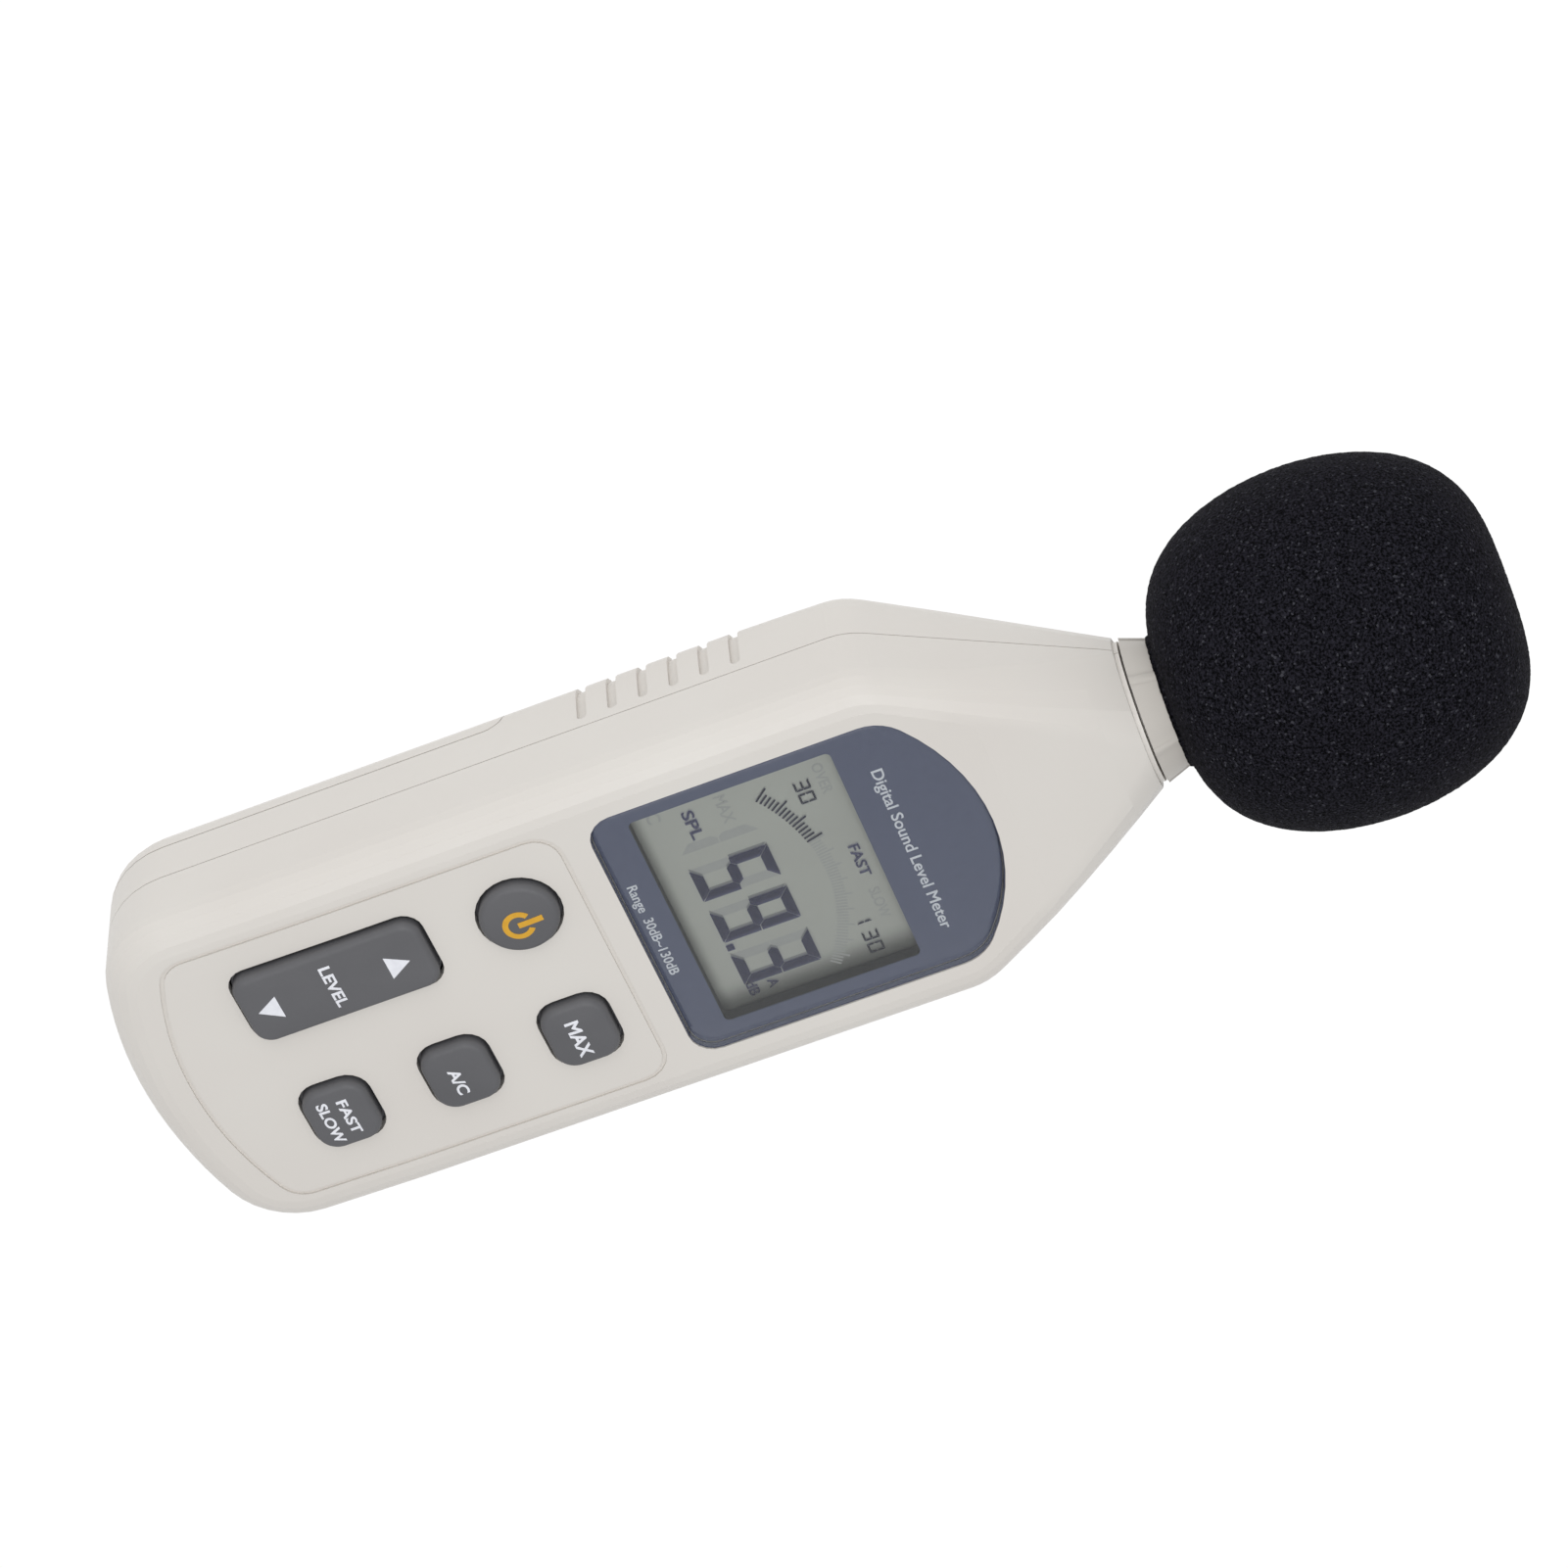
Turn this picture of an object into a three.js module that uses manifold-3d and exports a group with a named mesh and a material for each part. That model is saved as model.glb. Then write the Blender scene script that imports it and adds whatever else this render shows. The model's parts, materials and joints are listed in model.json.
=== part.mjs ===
// Hand-held digital sound level meter with a foam windscreen.
// Millimetres. The meter lies on its back: +X is its right side, +Y points to the microphone and
// +Z out of the display. The origin is the middle of the flat back face.
import * as THREE from 'three';
import { mergeVertices } from 'three/addons/utils/BufferGeometryUtils.js';
import Module from 'manifold-3d';

const wasm = await Module();
wasm.setup();

// ---- Clearances ----
const gap = 0.3;              // between two pieces that sit against each other
const seam = 0.2;             // open line between the two casing halves
const keyGap = 0.45;          // round a key in its hole

// ---- Casing ----
const bodyLength = 179.6;      // bottom end to neck
const bodyWidth = 68;
const wall = 2.2;
const frontEdge = 5.5;        // radius of the long front edges
const backEdge = 7.2;         // radius of the long back edges
const bottomArc = 76;         // plan radius of the bottom end
const bottomCorner = 15;      // plan radius of the two bottom corners
const frontBow = 1.5;         // how far the front falls away towards the bottom end
const bowLength = 54;         // length of the front that falls away
const taperLength = 39.8;     // shoulder to neck
const backTaper = 60;         // length of the back that rises towards the neck
const shoulderBlend = 3;      // half length of the soft shoulder
const neckLand = 0.7;         // what the neck's rim has beyond the wall
const frontFall = 1.4;        // exponent of the front's curve down to the neck
const backRise = 1.6;         // exponent of the back's curve up to the neck
const weld = 0.2;             // how far joined forms run into each other
const rimStep = 0.4;          // step of the rim round the neck's end
const rimLength = 0.8;
const axisZ = 16.8;           // height of the microphone's axis
const partingZ = 16.2;        // height of the line between the casing halves
const tongueWidth = 0.9;
const tongueHeight = 1.2;

// ---- Display ----
const panelHalfWidth = 26;
const panelBottomY = 0;
const panelTopY = 61.9;
const panelArch = 37;
const panelShoulder = 8;
const panelCorner = 4.6;
const panelMargin = 2;        // flat front past the panel's arch
const lensRoom = 0.2;         // between the lens and its pocket
const lensThickness = 1.7;
const lensBevel = 0.35;
const maskThickness = 0.2;
const ledgeThickness = 2;     // seat of the lens, below its pocket
const ledgeReach = 2;         // seat beyond the lens, to join the front
const windowRoom = 0.6;       // casing's opening round the window
const windowHalfWidth = 22.3;
const windowLength = 35.1;
const windowBottomY = 6.55;
const lcdMargin = 1.9;        // glass beyond the window on every side
const lcdThickness = 1.9;
const lcdFrameWall = 1.2;
const lcdRoom = 0.3;

// ---- Board and key mat ----
const boardThickness = 1.6;
const displayStack = 8;       // board's top to the front face
const boardSide = 4.5;        // board's edge to the wall beside it
const boardBottomInset = 13.8;
const boardTopInset = 20.8;
const boardChamfer = 9;
const matSide = 9.8;          // mat's edge to the casing's side
const matTopInset = 2;        // mat's ends inside the groove
const matBottomInset = 6;
const collarThickness = 1;
const matThickness = 1;
const matCollar = 0.8;

// ---- Keys ----
const keyRise = 2.3;          // crown above the front face
const keyTravel = 1.2;
const keyFlange = 1.3;        // how far the flange reaches past the cap
const flangeThickness = 1.3;
const keyEdge = 1.2;          // roll of the cap's edge, across and down
const keyDrop = 1.1;
const keyDome = 0.35;
const keyCrown = 1.6;         // width of the slope between the rolled edge and the crown
const stemInset = 2;
const earHalfLength = 2;      // ears at the middle of the level key
const rockerHalfWidth = 4;
const fulcrumHalfLength = 1;
const rockerStemInset = 6;    // stems of the level key from its ends
const roundKeyRadius = 7.34;  // holes: the caps are smaller by keyGap
const squareKeyWidth = 14.2;
const squareKeyLength = 12.9;
const squareKeyCorner = 4.2;
const levelKeyWidth = 15.2;
const levelKeyLength = 34.6;
const levelKeyCorner = 3.6;
const leftColumnX = -13.95;
const rightColumnX = 12.3;
const topRowY = -15.9;
const rowPitch = 21.7;
const levelKeyY = -48.6;
const grooveHalfWidth = 26.9;
const grooveTopY = -4.9;
const grooveBottomInset = 9.5;
const grooveArch = 62;
const grooveCorner = 5;
const grooveWidth = 0.8;
const grooveDepth = 0.4;

// ---- Battery, its bay and its cover ----
const batteryLength = 46.4;
const batteryWidth = 26.5;
const batteryHeight = 17.5;
const batteryRoom = 1.3;      // play round the battery in its bay
const batteryHeadroom = 0.15;
const studHeight = 2;
const studX = 6.3;
const smallStudRadius = 2.8;
const largeStudRadius = 3.9;
const leadRadius = 0.65;
const snapThickness = 3;
const snapRoom = 4.6;         // free length past the snap, for its leads
const padThickness = 1;
const bayWall = 1.4;
const bayRoof = 1;            // thickness of the bay's roof
const boardRoom = 0.25;       // between the bay's roof and the board
const bayBottomInset = 7.8;
const coverSeamZ = 7.7;       // height of the cover's edge along the sides
const coverEndY = -9.8;
const coverCorner = 3.5;
const deckThickness = 1.4;
const tabWidth = 8;
const tabX = 20;
const tabThickness = 1.5;
const tabSink = 6;            // start of the tabs inside the cover
const tabRoom = 0.5;          // round a tab in its slot
const ridgeCount = 5;         // thumb grooves of the cover
const ridgePitch = 3;
const ridgeHalfLength = 9;
const ridgeDepth = 0.6;
const ridgeStart = 9;         // first groove to the cover's end

// ---- Grip slots in the sides ----
const slotCount = 6;
const slotPitch = 5.41;
const slotFirstY = 4.1;
const slotWidth = 1.7;
const slotDepth = 1;
const slotTopZ = 14;
const slotReach = 7;          // how far a slot runs onto the back

// ---- Screws ----
const screwHeadRadius = 2.6;
const screwHeadHeight = 1.6;
const screwRadius = 1.15;
const screwLength = 16;
const bossRadius = 2.9;
const postRadius = 4.3;
const crossHalfLength = 1.7;
const crossHalfWidth = 0.4;
const crossDepth = 0.6;
const topScrewInset = 10.5;   // screw to the casing's side
const topScrewSeatZ = 5.2;
const bottomScrewInset = 8;
const bottomScrewRise = 19.8; // screw to the casing's bottom end
const bottomScrewSeatZ = 7.9;

// ---- Tripod socket and label ----
const socketY = 19;
const socketRadius = 3.175;   // quarter inch camera thread
const insertRadius = 4.5;
const insertHeight = 9;
const insertWall = 2;
const labelLength = 30;
const labelWidth = 44;
const labelRise = 31.8;       // middle of the label to the casing's bottom end
const labelThickness = 0.25;
const labelRoom = 0.2;

// ---- Microphone ----
const barrelRadius = 6.6;
const barrelWall = 1;
const barrelInside = 10.8;    // part of the barrel behind the casing's neck
const barrelOutside = 26.7;
const collarWall = 2.5;
const collarEndWall = 3.2;
const collarLength = 6.4;     // flared part outside the casing
const collarRib = 0.3;
const collarRibs = 6;
const collarRibWidth = 1.5;
const collarFlange = 0.9;     // flange inside the casing, past the lip's opening
const sealGroove = 1.3;
const lipLength = 3;
const flangeLength = 2;
const grilleThickness = 1.8;
const capsuleRoom = 0.4;
const capsuleLength = 6;
const ringRadius = 0.55;

// ---- Windscreen ----
const screenLength = 58.6;
const screenRadius = 30.3;
const screenStart = 4.6;      // its flat end past the casing's neck
const screenBlunt = 0.606;    // squareness of its profile: 1 is an ellipse
const screenRecess = 1.4;     // room round the collar's end
const screenLip = 0.4;        // flat end past that room
const screenFit = 0.45;       // bore to barrel

// ---- What follows from them ----
const batteryBottomZ = wall + padThickness + gap;
const bayRoofZ = batteryBottomZ + batteryHeight + batteryHeadroom;
const boardBackZ = bayRoofZ + bayRoof + boardRoom;
const boardTopZ = boardBackZ + boardThickness;
const bodyDepth = boardTopZ + displayStack;
const lipRadius = barrelRadius + gap + collarWall + gap;
const neckRadius = lipRadius + wall + neckLand;
const collarEndRadius = barrelRadius + gap + collarEndWall;
const frontZ = bodyDepth;
const innerFrontZ = frontZ - wall;
const neckY = bodyLength / 2;
const bottomY = -bodyLength / 2;
const shoulderY = neckY - taperLength;
const halfWidth = bodyWidth / 2;
const pocketZ = frontZ - lensThickness - maskThickness - 0.1;
const ledgeZ = pocketZ - ledgeThickness;
const grooveBottomY = bottomY + grooveBottomInset;
const boardHalfWidth = halfWidth - wall - boardSide;
const matHalfWidth = halfWidth - matSide;
const boardBottomY = bottomY + boardBottomInset;
const boardTopY = neckY - boardTopInset;
const bayBottomY = bottomY + bayBottomInset;
const labelY = bottomY + labelRise;
const barrelStartY = neckY - barrelInside;
const barrelEndY = neckY + barrelOutside;
const topScrew = { x: halfWidth - topScrewInset, y: shoulderY + 1.5, seatZ: topScrewSeatZ, postZ: 1 };
const bottomScrew = {
  x: halfWidth - bottomScrewInset,
  y: bottomY + bottomScrewRise,
  seatZ: bottomScrewSeatZ,
  postZ: bottomScrewSeatZ,
};
const windowMiddleY = windowBottomY + windowLength / 2;

// ================= geometry helpers =================

/** A closed geometry as a manifold solid. */
function solid(geometry) {
  const g = geometry.index ? geometry.toNonIndexed() : geometry;
  const bare = new THREE.BufferGeometry();
  bare.setAttribute('position', g.getAttribute('position').clone());
  const merged = mergeVertices(bare, 1e-4);
  const index = merged.index.array;
  const triangles = [];
  for (let i = 0; i < index.length; i += 3) {
    const [a, b, c] = [index[i], index[i + 1], index[i + 2]];
    if (a !== b && b !== c && c !== a) triangles.push(a, b, c);
  }
  const mesh = new wasm.Mesh({
    numProp: 3,
    vertProperties: new Float32Array(merged.getAttribute('position').array),
    triVerts: new Uint32Array(triangles),
  });
  return new wasm.Manifold(mesh);
}

/** A named mesh of a solid. */
function piece(name, shape, material) {
  const mesh = shape.getMesh();
  const geometry = new THREE.BufferGeometry();
  const values = new Float32Array(mesh.vertProperties);
  geometry.setAttribute('position', new THREE.BufferAttribute(values, 3));
  geometry.setIndex(Array.from(mesh.triVerts));
  geometry.computeVertexNormals();
  const node = new THREE.Mesh(geometry, material);
  node.name = name;
  return node;
}

/** Skin over rings of equal count, closed by a fan at each end. Turned outwards by its volume. */
function loft(rings) {
  const count = rings[0].length;
  const triangles = [];
  const quad = (a, b, c, d) => triangles.push([a, b, c], [a, c, d]);
  for (let s = 0; s + 1 < rings.length; s += 1) {
    for (let k = 0; k < count; k += 1) {
      const n = (k + 1) % count;
      quad(rings[s][k], rings[s][n], rings[s + 1][n], rings[s + 1][k]);
    }
  }
  const cap = (ring, flip) => {
    const middle = new THREE.Vector3();
    for (const p of ring) middle.addScaledVector(p, 1 / count);
    for (let k = 0; k < count; k += 1) {
      const n = (k + 1) % count;
      triangles.push(flip ? [middle, ring[k], ring[n]] : [middle, ring[n], ring[k]]);
    }
  };
  cap(rings[0], false);
  cap(rings[rings.length - 1], true);
  const real = triangles.filter(([a, b, c]) => areaOf(a, b, c) > 1e-7);
  let volume = 0;
  for (const [a, b, c] of real) volume += a.dot(b.clone().cross(c)) / 6;
  const position = [];
  for (const [a, b, c] of real) {
    const corners = volume > 0 ? [a, b, c] : [a, c, b];
    for (const p of corners) position.push(p.x, p.y, p.z);
  }
  const geometry = new THREE.BufferGeometry();
  geometry.setAttribute('position', new THREE.Float32BufferAttribute(position, 3));
  return solid(geometry);
}

function areaOf(a, b, c) {
  return b.clone().sub(a).cross(c.clone().sub(a)).length() / 2;
}

/** Box between two corners. */
function block(x0, x1, y0, y1, z0, z1) {
  const geometry = new THREE.BoxGeometry(x1 - x0, y1 - y0, z1 - z0);
  geometry.translate((x0 + x1) / 2, (y0 + y1) / 2, (z0 + z1) / 2);
  return solid(geometry);
}

/** Upright cylinder. */
function rod(x, y, radius, z0, z1, sides = 24) {
  const geometry = new THREE.CylinderGeometry(radius, radius, z1 - z0, sides);
  geometry.rotateX(Math.PI / 2);
  geometry.translate(x, y, (z0 + z1) / 2);
  return solid(geometry);
}

/** Prism of a plan outline between two heights. */
function prism(points, z0, z1) {
  const shape = new THREE.Shape(points);
  const geometry = new THREE.ExtrudeGeometry(shape, { depth: z1 - z0, bevelEnabled: false });
  geometry.translate(0, 0, z0);
  return solid(geometry);
}

/** Prism along X of a side outline, whose points are (y, z). */
function sidePrism(points, reach) {
  const shape = new THREE.Shape(points);
  const geometry = new THREE.ExtrudeGeometry(shape, { depth: 2 * reach, bevelEnabled: false });
  geometry.translate(0, 0, -reach);
  geometry.rotateY(Math.PI / 2);
  geometry.rotateX(Math.PI / 2);
  return solid(geometry);
}

/** Solid of revolution about the microphone's axis. Profile points are (radius, y). */
function turned(profile, sides = 40) {
  const points = profile.map(([r, y]) => new THREE.Vector2(r, y));
  const geometry = new THREE.LatheGeometry(points, sides);
  geometry.translate(0, 0, axisZ);
  return solid(geometry);
}

/** Ring of revolution: a closed profile off the axis. */
function turnedRing(profile, sides = 40) {
  return turned([...profile, profile[0]], sides);
}

/** Points of an arc, angles in degrees, both ends included. */
function arc(cx, cy, radius, from, to, steps) {
  const points = [];
  for (let i = 0; i <= steps; i += 1) {
    const a = THREE.MathUtils.degToRad(from + ((to - from) * i) / steps);
    points.push(new THREE.Vector2(cx + radius * Math.cos(a), cy + radius * Math.sin(a)));
  }
  return points;
}

/** Rectangle with round corners, anticlockwise. */
function roundedRectangle(cx, cy, halfX, halfY, radius, steps = 6) {
  const x = halfX - radius;
  const y = halfY - radius;
  return [
    ...arc(cx + x, cy + y, radius, 0, 90, steps),
    ...arc(cx - x, cy + y, radius, 90, 180, steps),
    ...arc(cx - x, cy - y, radius, 180, 270, steps),
    ...arc(cx + x, cy - y, radius, 270, 360, steps),
  ];
}

/**
 * Outline with a flat end and an arched end, symmetric about x = 0 and shrunk by inset.
 * flatY is the flat end and archY the top of the arch: the arch may be the lower end.
 */
function archedOutline({ halfX, flatY, archY, arch, shoulder, corner }, inset = 0) {
  const way = Math.sign(archY - flatY);
  const length = Math.abs(archY - flatY);
  const side = halfX - inset;
  const archMiddle = length - arch;
  const soft = Math.max(shoulder - inset, 0.2);
  const x = side - soft;
  const fall = Math.sqrt((arch - inset - soft) ** 2 - x ** 2);
  const turn = THREE.MathUtils.radToDeg(Math.atan2(fall, x));
  const bend = Math.max(corner - inset, 0.2);
  const right = [
    ...arc(side - bend, inset + bend, bend, -90, 0, 5),
    ...arc(x, archMiddle + fall, soft, 0, turn, 5),
    ...arc(0, archMiddle, arch - inset, turn, 90, 7).slice(1),
  ];
  const left = right.slice(0, -1).reverse().map((p) => new THREE.Vector2(-p.x, p.y));
  const all = [...right, ...left].map((p) => new THREE.Vector2(p.x, flatY + way * p.y));
  return way > 0 ? all : all.reverse();
}

// ================= casing form =================

/** Height of the front face at y. */
function frontAt(y) {
  const flatEnd = panelTopY + panelMargin;
  if (y > flatEnd) {
    const u = Math.min((y - flatEnd) / (neckY - flatEnd), 1);
    return frontZ - (frontZ - axisZ - neckRadius) * u ** frontFall;
  }
  const u = Math.max(bottomY + bowLength - y, 0) / bowLength;
  return frontZ - frontBow * u ** 2;
}

/** Height of the back face at y. */
function backAt(y) {
  const u = Math.min(Math.max((y - neckY + backTaper) / backTaper, 0), 1);
  return (axisZ - neckRadius) * u ** backRise;
}

/** Half width of the casing in plan, above the bottom corners. */
function halfWidthAt(y) {
  const slope = (halfWidth - neckRadius) / taperLength;
  const past = y - shoulderY + shoulderBlend;
  if (past <= 0) return halfWidth;
  if (past < 2 * shoulderBlend) return halfWidth - (slope * past ** 2) / (4 * shoulderBlend);
  return halfWidth - slope * Math.min(y - shoulderY, taperLength);
}

/** Half of one cross-section: from the back, up the side and onto the front. Hidden ones are coarser. */
function halfRing(x, y, nx, ny, sharp, inset) {
  const steps = inset > 1 ? 3 : 5;
  const back = THREE.MathUtils.lerp(backEdge, neckRadius, sharp) - inset;
  const front = THREE.MathUtils.lerp(frontEdge, neckRadius, sharp ** backRise) - inset;
  const ring = [];
  for (let i = 0; i <= steps; i += 1) {
    const a = (Math.PI / 2) * (i / steps);
    const into = back * (1 - Math.sin(a));
    const py = y + ny * into;
    ring.push(new THREE.Vector3(x + nx * into, py, backAt(py) + inset + back * (1 - Math.cos(a))));
  }
  for (let i = 0; i <= steps; i += 1) {
    const a = (Math.PI / 2) * (i / steps);
    const into = front * (1 - Math.cos(a));
    const py = y + ny * into;
    const z = frontAt(py) - inset - front * (1 - Math.sin(a));
    ring.push(new THREE.Vector3(x + nx * into, py, z));
  }
  return ring;
}

/** The whole casing as one solid, shrunk by inset on every side. past runs it beyond the neck. */
function casing(inset = 0, past = 0) {
  const stations = [];
  const archY = bottomY + bottomArc;
  const cornerX = halfWidth - bottomCorner;
  const cornerY = archY - Math.sqrt((bottomArc - bottomCorner) ** 2 - cornerX ** 2);
  const meet = THREE.MathUtils.radToDeg(Math.atan2(cornerY - archY, cornerX));
  const along = (points, cx, cy) => {
    for (const p of points) {
      const normal = new THREE.Vector2(cx - p.x, cy - p.y).normalize();
      stations.push({ x: p.x, y: p.y, nx: normal.x, ny: normal.y, sharp: 0 });
    }
  };
  along(arc(0, archY, bottomArc - inset, -90, meet, 7), 0, archY);
  along(arc(cornerX, cornerY, bottomCorner - inset, meet, 0, 7).slice(1), cornerX, cornerY);
  const heights = [];
  const straightEnd = shoulderY - shoulderBlend;
  for (let i = 1; i <= 4; i += 1) {
    heights.push(THREE.MathUtils.lerp(cornerY, bottomY + bowLength, i / 4));
  }
  const riseStart = neckY - backTaper;
  for (let i = 0; i <= 2; i += 1) heights.push(THREE.MathUtils.lerp(riseStart, straightEnd, i / 2));
  for (let i = 1; i <= 4; i += 1) heights.push(straightEnd + (2 * shoulderBlend * i) / 4);
  const taperStart = shoulderY + shoulderBlend;
  for (let i = 1; i <= 6; i += 1) heights.push(THREE.MathUtils.lerp(taperStart, neckY, i / 6));
  for (const y of heights) {
    const x = halfWidthAt(y);
    const sharp = (halfWidth - x) / (halfWidth - neckRadius);
    stations.push({ x: x - inset, y, nx: -1, ny: 0, sharp });
  }
  const rings = stations.map(({ x, y, nx, ny, sharp }) => {
    const right = halfRing(x, y, nx, ny, sharp, inset);
    const left = right.map((p) => new THREE.Vector3(-p.x, p.y, p.z)).reverse();
    return [...right, ...left];
  });
  if (past > 0) {
    const last = rings[rings.length - 1];
    rings.push(last.map((p) => new THREE.Vector3(p.x, p.y + past, p.z)));
  }
  return loft(rings);
}

const outerBody = casing();
const cavity = casing(wall, 2);
const innerBound = casing(1);

/** The casing's solid with the small step of the rim round its neck. */
function rimmedBody() {
  const far = neckRadius * 2;
  const band = turnedRing([
    [neckRadius - rimStep, neckY - rimLength],
    [far, neckY - rimLength],
    [far, neckY + 1],
    [neckRadius - rimStep, neckY + 1],
  ], 48);
  return outerBody.subtract(band);
}

const body = rimmedBody();
const reach = halfWidth + 20;

function below(z) {
  return block(-reach, reach, bottomY - 5, neckY + 5, -20, z);
}

function above(z) {
  return block(-reach, reach, bottomY - 5, neckY + 5, z, frontZ + 20);
}

/** Ring that narrows the neck's opening and holds the microphone collar. */
function neckLip() {
  return turnedRing([
    [lipRadius, neckY - lipLength],
    [neckRadius + 6, neckY - lipLength],
    [neckRadius + 6, neckY],
    [lipRadius, neckY],
  ], 48).intersect(casing(rimStep + 0.6, 0));
}

const screws = [
  { ...topScrew, name: 'case_screw_1' },
  { ...topScrew, x: -topScrew.x, name: 'case_screw_2' },
  { ...bottomScrew, name: 'case_screw_3' },
  { ...bottomScrew, x: -bottomScrew.x, name: 'case_screw_4' },
];

// ================= keys =================

const keyHalf = {
  round: { halfX: roundKeyRadius, halfY: roundKeyRadius, corner: roundKeyRadius },
  square: { halfX: squareKeyWidth / 2, halfY: squareKeyLength / 2, corner: squareKeyCorner },
  level: { halfX: levelKeyWidth / 2, halfY: levelKeyLength / 2, corner: levelKeyCorner },
};
const keys = [
  { name: 'power_key', form: 'round', x: leftColumnX, y: topRowY },
  { name: 'level_key', form: 'level', x: leftColumnX, y: levelKeyY },
  { name: 'max_key', form: 'square', x: rightColumnX, y: topRowY },
  { name: 'weighting_key', form: 'square', x: rightColumnX, y: topRowY - rowPitch },
  { name: 'response_key', form: 'square', x: rightColumnX, y: topRowY - 2 * rowPitch },
];

/** Plan outline of a key's hole, shrunk by inset. */
function keyOutline({ form, x, y }, inset) {
  const { halfX, halfY, corner } = keyHalf[form];
  const radius = Math.max(corner - inset, 0.5);
  return roundedRectangle(x, y, halfX - inset, halfY - inset, radius, form === 'round' ? 7 : 5);
}

/** Heights of a key where the front bows: its crown and the top and bottom of its flange. */
function keyHeights({ form, y }) {
  const lowEnd = y - keyHalf[form].halfY - keyFlange;
  const flangeTopZ = frontAt(lowEnd) - wall - gap;
  return { crownZ: frontAt(y) + keyRise, flangeTopZ, flangeZ: flangeTopZ - flangeThickness };
}

const stemZ = boardTopZ + gap + matThickness + gap + keyTravel;

/** A key: stem, flange that stops it falling out, and a pillowed cap. */
function keySolid(key) {
  const level = (points, z) => points.map((p) => new THREE.Vector3(p.x, p.y, z));
  const { crownZ, flangeTopZ, flangeZ } = keyHeights(key);
  const rings = [level(keyOutline(key, keyGap), flangeZ)];
  for (let i = 0; i <= 3; i += 1) {
    const a = (Math.PI / 2) * (i / 3);
    const inset = keyGap + keyEdge * (1 - Math.cos(a));
    rings.push(level(keyOutline(key, inset), crownZ - keyDome - keyDrop * (1 - Math.sin(a))));
  }
  rings.push(level(keyOutline(key, keyGap + keyEdge + keyCrown), crownZ - keyDome / 3));
  const cap = loft(rings);
  if (key.form === 'level') return cap.add(rockerFoot(key));
  const flange = prism(keyOutline(key, keyGap - keyFlange), flangeZ, flangeTopZ);
  const stem = prism(keyOutline(key, keyGap + stemInset), stemZ, flangeZ + weld);
  return cap.add(flange).add(stem);
}

/** Underside of the level key: ears at its middle, a fulcrum and a stem near each end. */
function rockerFoot(key) {
  const { halfX, halfY } = keyHalf.level;
  const { flangeTopZ, flangeZ } = keyHeights(key);
  const foot = (halfWide, y, halfLong, low, high) => block(key.x - halfWide, key.x + halfWide,
    y - halfLong, y + halfLong, low, high);
  const earX = halfX - keyGap + keyFlange;
  const matTopZ = boardTopZ + gap + matThickness;
  const ears = foot(earX, key.y, earHalfLength, flangeZ, flangeTopZ);
  const fulcrum = foot(rockerHalfWidth, key.y, fulcrumHalfLength, matTopZ + gap, flangeZ + weld);
  const ends = [-1, 1].map((side) => {
    const y = key.y + side * (halfY - rockerStemInset);
    return foot(rockerHalfWidth, y, earHalfLength, stemZ, flangeZ + weld);
  });
  return ears.add(fulcrum).add(ends[0]).add(ends[1]);
}

/** Silicone mat under the keys, with a low collar round each stem. */
function keypadMat() {
  const bottom = grooveBottomY + matBottomInset;
  const top = grooveTopY - matTopInset;
  const z0 = boardTopZ + gap;
  const z1 = z0 + matThickness;
  const half = (top - bottom) / 2;
  let mat = prism(roundedRectangle(0, bottom + half, matHalfWidth, half, 3, 3), z0, z1);
  for (const key of keys) {
    const { halfX, halfY, corner } = keyHalf[key.form];
    const collar = (inset, low, high) => prism(roundedRectangle(key.x, key.y, halfX - inset,
      halfY - inset, corner - inset, 3), low, high);
    const outer = collar(keyGap + gap, z0, z1 + matCollar);
    mat = mat.add(outer.subtract(collar(keyGap + gap + collarThickness, z1, z1 + matCollar + 1)));
  }
  for (const { x, y } of screws) mat = mat.subtract(rod(x, y, bossRadius + 0.6, z0 - 1, z1 + 2));
  return mat;
}

// ================= casing pieces =================

const panel = {
  halfX: panelHalfWidth,
  flatY: panelBottomY,
  archY: panelTopY,
  arch: panelArch,
  shoulder: panelShoulder,
  corner: panelCorner,
};
const groove = {
  halfX: grooveHalfWidth,
  flatY: grooveTopY,
  archY: grooveBottomY,
  arch: grooveArch,
  shoulder: grooveCorner,
  corner: grooveCorner,
};

function windowOutline(grow) {
  return roundedRectangle(0, windowMiddleY, windowHalfWidth + grow, windowLength / 2 + grow, 1);
}

/** Decorative groove round the keys, cut to an even depth below the bowed front. */
function keypadGroove() {
  const skin = casing(grooveDepth);
  const outer = prism(archedOutline(groove, -grooveWidth / 2), innerFrontZ, frontZ + 1);
  const inner = prism(archedOutline(groove, grooveWidth / 2), innerFrontZ - 1, frontZ + 2);
  return outer.subtract(inner).subtract(skin);
}

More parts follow.
